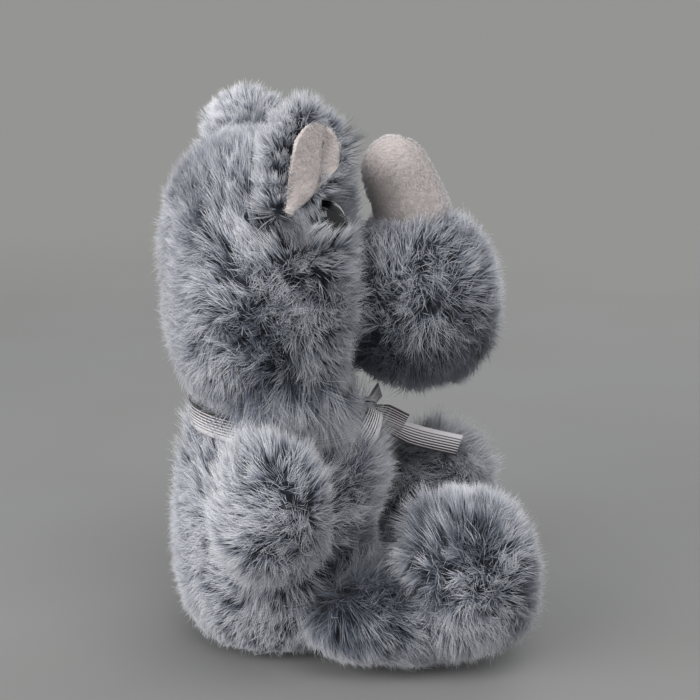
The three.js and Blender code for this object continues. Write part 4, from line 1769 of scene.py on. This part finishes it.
    def eye(self, shop: Workshop, side: Side) -> None:
        """Makes one eye: a domed button on a shank.

        Args:
            shop: the workshop.
            side: which eye.
        """
        seat, look = eye_axis(side)
        radius, shank, back = self.eye_radius, self.shank_radius, -0.6
        profile = [(0.0, -self.shank_length), (shank, -self.shank_length), (shank, back)]
        profile += [(radius - 0.5, back), (radius, 0.0)]
        steps = np.linspace(0, math.pi / 2, 13)[1:]
        profile += [(radius * math.cos(a), self.eye_dome * math.sin(a)) for a in steps]
        obj = spun_mesh(f"eye_dome_{side.label}", profile, 48)
        rotation = Vector((0, 0, 1)).rotation_difference(Vector(look)).to_matrix()
        move_to(obj, places(obj) @ np.array(rotation).T + seat)
        smooth(obj)
        obj.data.materials.append(shop.finishes["eye"])
        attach(obj, "head")
        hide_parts(f"eye_{side.label}")
        LOG.info("%s made", obj.name)


@dataclass
class Snout:
    """The snout: a ball of the same plush on the front of the head."""

    inset: float = PILE_INSET
    give: float = 1.5
    strands: int = 32000

    def build(self, shop: Workshop) -> None:
        """Makes the snout's pieces.

        Args:
            shop: the workshop.
        """
        deep = replace(SNOUT_FORM, halves=(38.0, 49.0, 40.5), front=35.0)
        skin = shop.skins.ball("snout_plush", deep, self.inset)
        shop.skins.plump(skin, self.give)
        shop.skins.dress(skin, "head", ["snout_skin"])
        outline = merged(2.0, SNOUT_FORM.beyond, HEAD_FORM.beyond)
        comb = Comb(self.sweep, unruly=0.38, tone=0.52, envelope=outline, shade=self.shade)
        things = [Horn().obstacle()]
        fur = shop.pile.grow("snout_fur", skin, self.strands, comb, 31, self.keep, things)
        shop.fur(fur, "head")

    def keep(self, spots: Array, facing: Array) -> Array:
        """Where fibres grow: outside the head."""
        return HEAD_FORM.beyond(spots) > -6

    def shade(self, spots: Array, facing: Array) -> Array:
        """The pile is painted darkest under the chin, as shade."""
        return -0.03 - 0.65 * fall(spots[:, 2], 146, 20)

    def sweep(self, spots: Array, facing: Array) -> Array:
        """The pile streams away from the seam, and out from the middle of each cheek."""
        ahead = spun(np.tile(np.array([0.0, -0.3, -0.05]), (len(spots), 1)), HEAD_TURN)
        cheek = Whorl((-37.0, -66.0, 150.0), 26.0, 0.7, 0.05, HEAD_TURN, 0.6)
        return ahead + cheek.sweep(spots, facing)


@dataclass
class Horn:
    """The horn: a blunt stuffed cone of velboa, leaning back over the snout."""

    radius: float = 15.5
    height: float = 31.5
    root: float = 9.0
    taper: float = 0.9
    lean: float = math.radians(24)
    set_back: float = 5.0
    nap_strands: int = 6500

    def base(self) -> Array:
        """Where the horn's axis meets the snout, before the head is turned.

        Returns:
            The place.
        """
        half = np.array(SNOUT_FORM.halves)
        top = half[2] * math.sqrt(1 - (self.set_back / half[1]) ** 2)
        return np.array(SNOUT_FORM.middle) + np.array([0.0, self.set_back, top])

    def obstacle(self) -> Obstacle:
        """The horn as something that fur parts round.

        Returns:
            The obstacle.
        """
        axis = np.array([0.0, math.sin(self.lean), math.cos(self.lean)])
        ends = np.stack([self.base() - 6 * axis, self.base() + (self.height + 4) * axis])
        start, end = turned(ends, HEAD_TURN)
        return Obstacle(tuple(start), tuple(end), self.radius + 0.4, self.radius * self.taper)

    def build(self, shop: Workshop) -> None:
        """Makes the horn by spinning its profile and leaning it back, and grows its nap.

        Args:
            shop: the workshop.
        """
        radius, foot, shoulder = self.radius, -self.root, self.height - self.radius
        profile = [(0.0, foot), (radius - 2, foot), (radius, 2 + foot), (radius * 1.01, 0.0)]
        tip = [(radius * self.taper * math.cos(a), shoulder + radius * math.sin(a))
               for a in np.linspace(0, math.pi / 2, 12)]
        obj = spun_mesh("horn_velboa", profile + tip, 40)
        apply_modifier(obj, "SUBSURF", levels=1, render_levels=1)
        x, y, z = places(obj).T
        s, c = math.sin(self.lean), math.cos(self.lean)
        leaned = np.stack([x, y * c + z * s, -y * s + z * c], -1)
        move_to(obj, turned(leaned + self.base(), HEAD_TURN))
        smooth(obj)
        obj.data.materials.append(shop.finishes["velboa"])
        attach(obj, "head")
        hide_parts("horn_skin")
        comb = Comb(
            lambda p, n: np.tile([0.0, 0.2, -0.8], (len(p), 1)),
            1.9, lift=0.6, unruly=0.35, curl=0.4, width=0.22, tone=0.6,
        )
        keep = lambda p, n: SNOUT_FORM.beyond(p) > 0
        nap = Pile(shop.finishes["nap"]).grow("horn_nap", obj, self.nap_strands, comb, 33, keep)
        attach(nap, "head")
        LOG.info("horn_velboa made")


@dataclass
class Ear:
    """One ear: a furry back and a folded velboa lining."""

    side: Side
    strands: int = 12000
    nap_strands: int = 2200
    front_lift: float = 3.2
    lining_width: float = 25.0
    lining_height: float = 36.0
    lining_foot: float = 2.7
    wall: float = 1.6

    @property
    def shape(self) -> EarShape:
        """The leaf that the ear follows."""
        return EarShape(self.side)

    def build(self, shop: Workshop) -> None:
        """Makes the ear's pieces.

        Args:
            shop: the workshop.
        """
        shape, label = self.shape, self.side.label
        u, v = np.meshgrid(np.linspace(-1, 1, 17), np.linspace(0, 1, 21))
        half = shape.leaf(v, 0.55) * (shape.width / 2 - 5.5)
        middle = np.full(u.shape, self.front_lift)
        grid = shape.point(u * half, 2 + v * (shape.height - 7.5), middle)
        edge = swell(u, 3) * swell(2 * v - 1, 4)
        back = sheet_mesh(f"ear_plush_{label}", grid, 3.4 * (0.3 + 0.7 * edge))
        tidy_normals(back)
        back.data.uv_layers.remove(back.data.uv_layers[0])
        shop.skins.dress(back, f"ear_{label}", [f"ear_back_{label}"], fill=0.4)
        comb = Comb(self.sweep, 12.5, curl=0.45, tone=0.7, trim=self.trim, shade=self.shade)
        name, seed = f"ear_fur_{label}", 41 + self.side.value
        things = Head().obstacles()
        fur = shop.pile.grow(name, back, self.strands, comb, seed, self.keep, things)
        shop.fur(fur, f"ear_{label}")
        self.lining(shop)

    def lining_half(self, share: Array) -> Array:
        """Half the lining's width at a share of its height."""
        return self.shape.leaf(share, 0.12, 1.45) * self.lining_width / 2

    def foot(self, across: Array, up: Array, end: float) -> Array:
        """How much a place belongs to the ear's foot, in front."""
        return fall(up, end, 8) * rise(across, -2, 6)

    def keep(self, spots: Array, facing: Array) -> Array:
        """Where fibres grow: all over the back, and in a rim round the lining on the front.

        Args:
            spots: places on the skin.
            facing: the normals there; not used.

        Returns:
            Whether they grow at each place.
        """
        across, up, lift = self.shape.places(spots)
        half = self.lining_half(rise(up, self.lining_foot, self.lining_height))
        covered = (np.abs(across) < half - 2.0) & (up < self.lining_foot + self.lining_height - 1.5)
        return ~((lift > self.front_lift + 0.2) & covered) & (HEAD_FORM.beyond(spots) > -6)

    def sweep(self, spots: Array, facing: Array) -> Array:
        """The pile stands out from the middle of the ear, and up.

        Args:
            spots: places on the skin.
            facing: the normals there; not used.

        Returns:
            The way that it is brushed.
        """
        across, up, lift = self.shape.places(spots)
        still = np.zeros(len(spots))
        middle = self.shape.point(still, np.clip(up - 4, 2, 30), still + 3.0)
        front = lift > self.front_lift
        rim = np.clip((self.shape.rim(across, up) - 0.45) / 0.35, 0.4, 0.9)
        low = (self.foot(across, up, 20) * front)[:, None]
        around = np.where(front, rim, 0.9)[:, None] * unit(spots - middle) + 0.15 * UP
        return around * (1 - low) + low * spun(np.array([[0.0, -0.35, -0.85]]), HEAD_TURN)

    def trim(self, spots: Array, facing: Array) -> Array:
        """The pile is longest on the ear's front edge, and short beside the lining.

        Args:
            spots: places on the skin.
            facing: the normals there; not used.

        Returns:
            The share of its length that it keeps.
        """
        across, up, lift = self.shape.places(spots)
        half = self.lining_half(rise(up, self.lining_foot, self.lining_height))
        over = up - self.lining_foot - self.lining_height
        margin = np.maximum(np.abs(across) - half, over)
        beside = np.where(lift > self.front_lift, np.clip(0.6 + 0.4 * margin / 4, 0.6, 1), 1.0)
        edge = 0.15 * np.clip(across / 12, -0.6, 1)
        return beside * (1 + edge + 0.4 * self.foot(across, up, 18))

    def shade(self, spots: Array, facing: Array) -> Array:
        """The pile is dark in the middle of the back, and palest on its edge and low in front."""
        across, up, _ = self.shape.places(spots)
        edge = np.clip(0.9 * (self.shape.rim(across, up) - 0.65), -0.3, 0.32)
        return edge + 0.2 * self.foot(across, up, 18)

    def lining(self, shop: Workshop) -> None:
        """Makes the lining, a leaf with its front lobe folded over, and its nap.

        Args:
            shop: the workshop.
        """
        shape, label = self.shape, self.side.label
        u, v = np.meshgrid(np.linspace(-1, 1, 61), np.linspace(0, 1, 45))
        start = (shape.height - self.lining_height) * 0.3
        crease = np.interp(v, [0.0, 0.28, 0.6, 1.0], [1.25, 1.0, 0.38, -0.05])
        round_v = np.sin(math.pi * np.clip(v, 0.03, 0.97)) ** 0.7
        flap = 2.6 * (1 - ((u - crease + 0.75) / 1.15) ** 2) * round_v
        lobe = 1.6 * ((u - crease) / np.maximum(1 - crease, 0.25)) ** 2 - 1.6 * np.sin(math.pi * v)
        step = 1 / (1 + np.exp(-(u - crease) / 0.035))
        lift = shape.thickness + 1.2 + flap * (1 - step) + lobe * step
        grid = shape.point(u * self.lining_half(v), start + v * self.lining_height, lift)
        leaf = sheet_mesh(f"ear_velboa_{label}", grid, np.full(u.shape, self.wall))
        tidy_normals(leaf)
        smooth(leaf)
        leaf.data.uv_layers.remove(leaf.data.uv_layers[0])
        leaf.data.materials.append(shop.finishes["velboa"])
        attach(leaf, f"ear_{label}")
        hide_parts(f"ear_lining_{label}")
        out = shape.outward()
        comb = Comb(
            lambda p, n: np.tile([0.0, 0.0, 0.7], (len(p), 1)),
            1.5, lift=0.6, unruly=0.4, curl=0.4, width=0.26, tone=0.62,
        )
        pile, seed = Pile(shop.finishes["nap"]), 45 + self.side.value
        keep = lambda p, n: n @ out > -0.2
        nap = pile.grow(f"ear_nap_{label}", leaf, self.nap_strands, comb, seed, keep)
        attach(nap, f"ear_{label}")
        LOG.info("%s made", leaf.name)


@dataclass
class Arm:
    """One arm: a stuffed paddle sewn to the shoulder."""

    side: Side
    inset: float = PILE_INSET
    give: float = 1.2
    strands: int = 17000
    flat: float = 47.2
    fur_foot: float = 48.5

    def build(self, shop: Workshop) -> None:
        """Makes the arm's pieces.

        Args:
            shop: the workshop.
        """
        label, form = self.side.label, arm_form(self.side)
        skin = shop.skins.ball(f"arm_plush_{label}", form, self.inset, 4)
        shop.skins.plump(skin, self.give)
        points = places(skin)
        inside = points[:, 0] * self.side.value < self.flat
        points[:, 0] = np.where(inside, self.side.value * self.flat, points[:, 0])
        move_to(skin, points)
        shop.skins.dress(skin, f"arm_{label}", [f"arm_skin_{label}"])
        outline = merged(5.0, form.beyond, TORSO_FORM.beyond)
        shoulder = lambda p: outline(p) - 5.0 * rise(p[:, 2], 92, 10)
        comb = Comb(self.sweep, envelope=shoulder, shade=self.shade)
        seed = 51 + self.side.value
        fur = shop.pile.grow(f"arm_fur_{label}", skin, self.strands, comb, seed, self.keep)
        shop.fur(fur, f"arm_{label}")

    def keep(self, spots: Array, facing: Array) -> Array:
        """Where fibres grow: all over but the face against the body."""
        return spots[:, 0] * self.side.value > self.fur_foot

    def shade(self, spots: Array, facing: Array) -> Array:
        """The pile is paler behind, and painted darker where the arm hangs over the thigh, as shade.
        """
        _, y, z = spots.T
        return 0.07 + 0.2 * rise(y, 4, 14) - 0.15 * fall(z, 58, 10) * fall(y, 8, 10)

    def sweep(self, spots: Array, facing: Array) -> Array:
        """The pile lies away from the low middle of the arm, on every side."""
        return Whorl((-81.0, -10.0, 63.0), 24.0, 0.95, 0.0, 0.0, 0.4).sweep(spots, facing)


@dataclass
class Leg:
    """One leg: thigh, foot and sole, which lift together from the hip.

    The left leg, which faces the camera with its inner side, has a taller foot, painted paler on
    that side as light.
    """

    side: Side
    inset: float = PILE_INSET
    give: float = 1.2
    floor: float = 0.4
    thigh_strands: int = 13000
    foot_strands: int = 27000

    def build(self, shop: Workshop) -> None:
        """Makes the leg's pieces.

        Args:
            shop: the workshop.
        """
        label = self.side.label
        body = f"leg_{label}"
        thigh, foot = thigh_form(self.side), foot_form(self.side)
        upper = self.skin(shop, f"thigh_plush_{label}", thigh, [f"thigh_skin_{label}"])
        soled = [f"foot_skin_{label}", f"foot_sole_{label}"]
        lower = self.skin(shop, f"foot_plush_{label}", foot, soled)
        outline = merged(5.0, thigh.beyond, foot.beyond, TORSO_FORM.beyond)
        joined = drawn_in(outline, 18.0, 6.0, 0.22)
        crest = 3.0 if self.side is Side.RIGHT else 12.0

        def whole(spots: Array) -> Array:
            """How far places lie past the leg, which is full over the top of the foot."""
            return joined(spots) - crest * rise(spots[:, 2], 55, 14) - 7.0 * self.instep(spots)

        # The thigh's pile is set dark, as painted shade in the hollow between the arm and the foot.
        looks = {"tone": 0.26, "edge": 1.0, "shade": self.thigh_shade}
        comb = Comb(self.thigh_sweep, 17.0, 0.28, envelope=whole, **looks)
        name, seed = f"thigh_fur_{label}", 61 + self.side.value
        keep = lambda p, n: foot.beyond(p) > -8
        shop.fur(shop.pile.grow(name, upper, self.thigh_strands, comb, seed, keep), body)
        comb = Comb(self.foot_sweep, trim=self.foot_trim, envelope=whole, shade=self.foot_shade)
        name, seed = f"foot_fur_{label}", 71 + self.side.value
        keep = lambda p, n: thigh.beyond(p) > -8
        shop.fur(shop.pile.grow(name, lower, self.foot_strands, comb, seed, keep), body)

    def skin(self, shop: Workshop, name: str, form: Form, nodes: Sequence[str]) -> Thing:
        """Makes one stuffed skin of the leg.

        Args:
            shop: the workshop.
            name: the piece's name.
            form: the form that it follows.
            nodes: the CAD nodes that it replaces.

        Returns:
            The skin.
        """
        skin = shop.skins.ball(name, replace(form, floor=self.floor), self.inset, 4)
        shop.skins.plump(skin, self.give)
        shop.skins.dress(skin, f"leg_{self.side.label}", nodes)
        return skin

    def instep(self, spots: Array) -> Array:
        """How much a place belongs to the instep, high on the foot and nearest the lap."""
        return blob((spots[:, 1], -56, 13)) * rise(spots[:, 2], 46, 16)

    def foot_trim(self, spots: Array, facing: Array) -> Array:
        """The pile is longest on the instep and over the top."""
        over = rise(spots[:, 2], 50, 12) * (0.0 if self.side is Side.RIGHT else 0.4)
        return 1 + 0.45 * self.instep(spots) + over

    def thigh_shade(self, spots: Array, facing: Array) -> Array:
        """The pile is painted dark beside the lap, as shade in the hollow, and is paler low in
        front, at the floor.
        """
        low = fall(spots[:, 2], 30, 14) * fall(spots[:, 1], -36, 12)
        return 0.38 * low - 0.4 * (rise(spots[:, 2], 28, 8) * rise(spots[:, 1], -62, 10))

    def thigh_sweep(self, spots: Array, facing: Array) -> Array:
        """The pile streams towards the foot and the floor."""
        stray = Whorl((-60.0, -40.0, 44.0), 20.0, 0.0, 0.0, 0.0, 0.4)
        return np.array([0.0, -0.45, -0.9]) + stray.sweep(spots, facing)

    def foot_shade(self, spots: Array, facing: Array) -> Array:
        """A painted pale ridge and a painted dark crease, as highlight and shade, run round the foot
        where its sole is let in; the left foot's inner side is painted paler, as light.

        Args:
            spots: places on the skin.
            facing: the normals there.

        Returns:
            The shift in tone.
        """
        x, y, z = spots.T
        facing_x, facing_y, facing_z = facing.T
        ahead = -y - 0.12 * (z - 38)
        # Painted highlight on the ridge and painted shade in the crease.
        ridge = blob((ahead, 87.5, 2.2))
        crease = blob((ahead, 92.5, 2.2)) * rise(facing_y, -1.0, 0.4)
        inner = rise(-x * facing_x, 0, 20)
        dusk = blob((y, -72, 12), (z, 50, 12))
        border = np.clip(1.3 * np.maximum(facing_z, -facing_y) - 0.4, 0, 1)
        # The left foot's inner side is painted paler, as light; it is darker in its middle, paler
        # where it faces up or forward, and a little darker overall.
        inner = 0.12 * inner - 0.65 * inner * dusk + 0.4 * border - 0.1
        outer = rise(facing_x * self.side.value, 0.1, 0.3)
        # A darker patch high on the outer side, and a paler top on the inner side.
        patch = blob((y, -60, 12), (z, 61, 9)) * outer
        top = rise(z, 56, 10) * (1 - outer)
        tone = 0.26 * ridge - 0.4 * crease + inner * (self.side is Side.LEFT)
        return tone - 0.5 * patch + 0.25 * top

    def foot_sweep(self, spots: Array, facing: Array) -> Array:
        """The pile lies away from the middle of the foot's side."""
        return Whorl((-70.0, -76.0, 44.0), 24.0, 0.9, 0.05).sweep(spots, facing)


@dataclass
class Ribbon:
    """The striped ribbon: a band round the neck, a knot, two loops and two tails."""

    width: float = 10.0
    wall: float = 0.5
    knot_wall: float = 0.6
    gather: float = 0.5
    reach: float = 38.65
    deep: float = 46.0 / 47.5
    height: float = 100.0
    tilt: float = 3.0
    least_tail: float = 10.5
    knot: Place = (0.0, -40.4, 101.2)
    knot_halves: Place = (4.0, 2.9, 3.9)

    def build(self, shop: Workshop) -> None:
        """Makes the ribbon's pieces.

        Args:
            shop: the workshop.
        """
        self.band(shop)
        self.bow_knot(shop)
        right = [(-2, -0.5, 1), (-9, -1.5, 0), (-15, 2.5, -7), (-12, 5.5, -10.5), (-3, 3, -3)]
        left = [(2, -0.5, 1), (9, -4.5, 3), (15, -6.5, 4), (11, -3.5, 2.5), (2, 1, 0)]
        self.loop(shop, Side.RIGHT, right, (0.1, -0.84, -0.54))
        self.loop(shop, Side.LEFT, left, (-0.62, 0.25, 0.74))
        self.tail(shop, Side.RIGHT, (-5.0, -55.5, 95.2), (-0.45, -0.3, 0.8))
        self.tail(shop, Side.LEFT, (19.9, -84.0, 76.6), (0.35, -0.4, 0.85))

    def finish(
        self, obj: Thing, shop: Workshop, node: str, length: float, held: str,
        flip: bool = False,
    ) -> None:
        """Dresses one stretch of ribbon.

        Args:
            obj: the stretch.
            shop: the workshop.
            node: the CAD node that it stands for.
            length: how long it was cut, in millimetres.
            held: how it is held; not used.
            flip: whether its white edge is its first one.
        """
        tidy_normals(obj)
        smooth(obj)
        weave = obj.data.uv_layers["weave"].data
        uv = np.empty(len(obj.data.loops) * 2)
        weave.foreach_get("uv", uv)
        uv = uv.reshape(-1, 2)
        uv[:, 0] *= length
        if flip:
            uv[:, 1] = 1 - uv[:, 1]
        weave.foreach_set("uv", uv.ravel())
        obj.data.materials.append(shop.finishes["ribbon"])
        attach(obj, "torso")
        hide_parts(node)
        LOG.info("%s made, %.0f mm long", obj.name, length)

    def band(self, shop: Workshop) -> None:
        """Makes the band round the neck.

        Args:
            shop: the workshop.
        """
        columns, rows = 120, 5
        angle = ring_angles(columns)
        across = np.linspace(-0.5, 0.5, rows)
        reach = self.reach - 0.35 * (np.abs(across) * 2)[:, None] ** 2
        x = reach * np.cos(angle)[None]
        y = reach * self.deep * np.sin(angle)[None]
        z = self.height + self.tilt * np.sin(angle)[None] + across[:, None] * self.width
        grid = np.stack([x, y, z], -1)
        obj = sheet_mesh("ribbon_neck_band", grid, np.full((rows, columns), self.wall), ring=True)
        around = length_of(np.vstack([grid[2], grid[2][:1]]))
        self.finish(obj, shop, "ribbon_band", around, "gathered", flip=True)

    def bow_knot(self, shop: Workshop) -> None:
        """Makes the knot, a short turn of ribbon pulled tight round the bow.

        Args:
            shop: the workshop.
        """
        columns, rows = 24, 7
        angle = ring_angles(columns)
        across = np.linspace(-1, 1, rows)
        half_x, half_y, half_z = self.knot_halves
        narrow = 0.8 + 0.2 * np.abs(across)[:, None] ** 2
        y, z = (
            half * narrow * np.sign(wave) * np.abs(wave) ** 0.7
            for half, wave in ((half_y, np.cos(angle)), (half_z, np.sin(angle)))
        )
        x = np.broadcast_to((across * half_x * 0.85)[:, None], y.shape)
        grid = np.stack([x, y, z], -1) + np.array(self.knot)
        wall = np.full((rows, columns), self.knot_wall)
        obj = sheet_mesh("ribbon_bow_knot", grid, wall, ring=True)
        around = length_of(np.vstack([grid[3], grid[3][:1]]))
        self.finish(obj, shop, "ribbon_knot", around, "gathered")

    def strip(
        self, name: str, points: Sequence[Array], start: Sequence[float], end: Sequence[float],
        is_loop: bool,
    ) -> tuple[Thing, float]:
        """Makes a strip of ribbon along a smooth curve.

        Args:
            name: the piece's name.
            points: what the curve passes through.
            start: the way of its width at its start.
            end: the way of its width at its end.
            is_loop: whether it is gathered at both ends.

        Returns:
            The object and its length.
        """
        steps = 40
        before, after = 2 * points[0] - points[1], 2 * points[-1] - points[-2]
        control = np.array([before, *points, after])
        line = []
        for t in np.linspace(0, len(points) - 1, steps + 1):
            k = min(int(t), len(points) - 2)
            f = t - k
            a, b, c, d = control[k : k + 4]
            square, cube = 2 * a - 5 * b + 4 * c - d, 3 * b - a - 3 * c + d
            line.append(0.5 * (2 * b + (c - a) * f + square * f**2 + cube * f**3))
        line = np.array(line)
        share = np.linspace(0, 1, steps + 1)
        first, last = np.array(start)[None], np.array(end)[None]
        across = unit(first * (1 - share)[:, None] + last * share[:, None])
        away = np.minimum(share, 1 - share) if is_loop else share
        wide = self.width * (self.gather + (1 - self.gather) * np.minimum(1, 2.2 * away))
        rows = np.linspace(-0.5, 0.5, 5)[:, None, None]
        grid = line[None] + rows * (across * wide[:, None])[None]
        return sheet_mesh(name, grid, np.full(grid.shape[:2], self.wall)), length_of(line)

    def loop(self, shop: Workshop, side: Side, steps: Sequence[Place], across: Place) -> None:
        """Makes one loop of the bow: the right one sinks into the pile, the left one stands up.

        Args:
            shop: the workshop.
            side: which loop.
            steps: what it passes through, from the knot's middle.
            across: the way of its width.
        """
        points = [np.array(self.knot) + np.array(step) for step in steps]
        obj, length = self.strip(f"ribbon_bow_loop_{side.label}", points, across, across, True)
        self.finish(obj, shop, f"ribbon_loop_{side.label}", length, "folded")

    def tail(self, shop: Workshop, side: Side, end: Place, across: Place) -> None:
        """Makes one tail of the bow: the right one is short, and the left one hangs over the lap.

        Args:
            shop: the workshop.
            side: which tail.
            end: where it ends.
            across: the way of its width there.
        """
        short = side is Side.RIGHT
        start = np.array(self.knot) + np.array((-1.5, -1.0, -0.5) if short else (0.0, -2.5, -5.0))
        finish = np.array(end)
        middle = start + (finish - start) * 0.45 + np.array([0, 0, 0.4 if short else -1.8])
        first = (-0.2, -0.35, 0.9) if short else (0.6, -0.35, 0.7)
        name = f"ribbon_bow_tail_{side.label}"
        obj, length = self.strip(name, [start, middle, finish], first, across, False)
        length = max(length, self.least_tail)
        self.finish(obj, shop, f"ribbon_tail_{side.label}", length, "laid", flip=short)


@dataclass
class Stage:
    """Camera, lamps and the grey sweep."""

    azimuth: float = 264.0
    elevation: float = 13.0
    distance: float = 640.0
    target: Place = (0.0, -32.0, 127.0)
    sensor: float = 36.0
    picture_px: float = 700.0
    focal_px: float = 640.0 / 0.43
    lit_spot: Place = (0, -0.03, 0.12)

    def build(self, shop: Workshop) -> None:
        """Makes the stage.

        Args:
            shop: the workshop.
        """
        self.camera()
        self.sweep(shop)
        self.lamp("key", 213.0, 13.0, 1.7, 1.6, 39.0)
        self.lamp("fill", 288.0, 55.0, 1.8, 1.2, 17.0)
        self.lamp("rim", 56.0, 30.0, 1.8, 1.2, 11.0)
        self.lamp("low", 242.0, 4.0, 2.0, 1.6, 6.0)
        bpy.context.scene.world = Studio().room()

    def away(self, azimuth: float, elevation: float) -> Array:
        """The direction from the toy to a place round it."""
        a, e = math.radians(azimuth), math.radians(elevation)
        return np.array([math.sin(a) * math.cos(e), -math.cos(a) * math.cos(e), math.sin(e)])

    def camera(self) -> None:
        """Puts the camera at the photograph's angle."""
        data = bpy.data.cameras.new("camera")
        data.sensor_width = self.sensor
        data.lens = self.sensor * self.focal_px / self.picture_px
        obj = link(bpy.data.objects.new("camera", data))
        place = np.array(self.target) + self.distance * self.away(self.azimuth, self.elevation)
        obj.location = Vector(place * MM)
        look = Vector((np.array(self.target) - place) * MM)
        obj.rotation_euler = look.to_track_quat("-Z", "Y").to_euler()
        bpy.context.scene.camera = obj

    def sweep(self, shop: Workshop) -> None:
        """Makes the floor, a wide plain sheet.

        Args:
            shop: the workshop.
        """
        deselect()
        bpy.ops.mesh.primitive_plane_add(size=14.0, location=(0, 0, 0))
        floor = bpy.context.object
        floor.name = "floor"
        floor.data.materials.append(shop.finishes["studio"])

    def lamp(
        self, name: str, azimuth: float, elevation: float, distance: float, size: float,
        watts: float,
    ) -> None:
        """Adds one soft white lamp that faces the toy.

        Args:
            name: the lamp's name.
            azimuth: where it stands round the toy, in degrees.
            elevation: how high, in degrees.
            distance: how far, in metres.
            size: of its square face, in metres.
            watts: its power.
        """
        data = bpy.data.lights.new(name, "AREA")
        data.size = size
        data.energy = watts
        obj = link(bpy.data.objects.new(name, data))
        heart = Vector(self.lit_spot)
        obj.location = heart + Vector(self.away(azimuth, elevation)) * distance
        obj.rotation_euler = (heart - obj.location).to_track_quat("-Z", "Y").to_euler()


def dress_inside(shop: Workshop) -> None:
    """Gives the pieces that stay inside the toy their materials.

    Args:
        shop: the workshop.
    """
    kinds = {"stuffing": "wadding", "washer": "washer", "pouch": "pouch"}
    for name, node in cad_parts.items():
        for word, finish in kinds.items():
            if word in name:
                node.data.materials.clear()
                node.data.materials.append(shop.finishes[finish])


def inside(name: str, pale: str, shade: str, grain_mm: float) -> Finish:
    """Makes the material of a piece inside the toy."""
    return PlainInside(name, Grain(grain_mm, 4.0, ((0.3, shade), (0.7, pale)))).make()


def main() -> None:
    """Builds the toy and its stage."""
    logging.basicConfig(level=logging.INFO, format="%(name)s: %(message)s")
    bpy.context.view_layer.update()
    nap = FrostedPile("velboa_pile", "#a59b95", "#bbb2ae", "#ccc4c0", "#ded6d3", "#e8e1de")
    finishes = {
        "eye": EyeGloss().make(), "velboa": Velboa().make(), "nap": nap.make(),
        "ribbon": Grosgrain().make(), "studio": Studio().make(),
        "wadding": inside("polyester_wadding", "#f4f2ec", "#dcd9d0", 3.0),
        "washer": inside("moulded_washer", "#ececec", "#e0e0e0", 1.0),
        "pouch": inside("cotton_pouch", "#dcd6c8", "#c8c1b1", 0.6),
    }
    shop = Workshop(SkinMaker(PlushBacking().make()), Pile(FrostedPile().make()), finishes)
    builders: list[Any] = [Stage(), Torso(), Head(), Snout(), Horn(), Ribbon()]
    builders += [limb(side) for limb in (Ear, Arm, Leg) for side in Side]
    for builder in builders:
        builder.build(shop)
    dress_inside(shop)
    bpy.context.scene.view_settings.view_transform = "Standard"


if __name__ == "__main__":
    main()
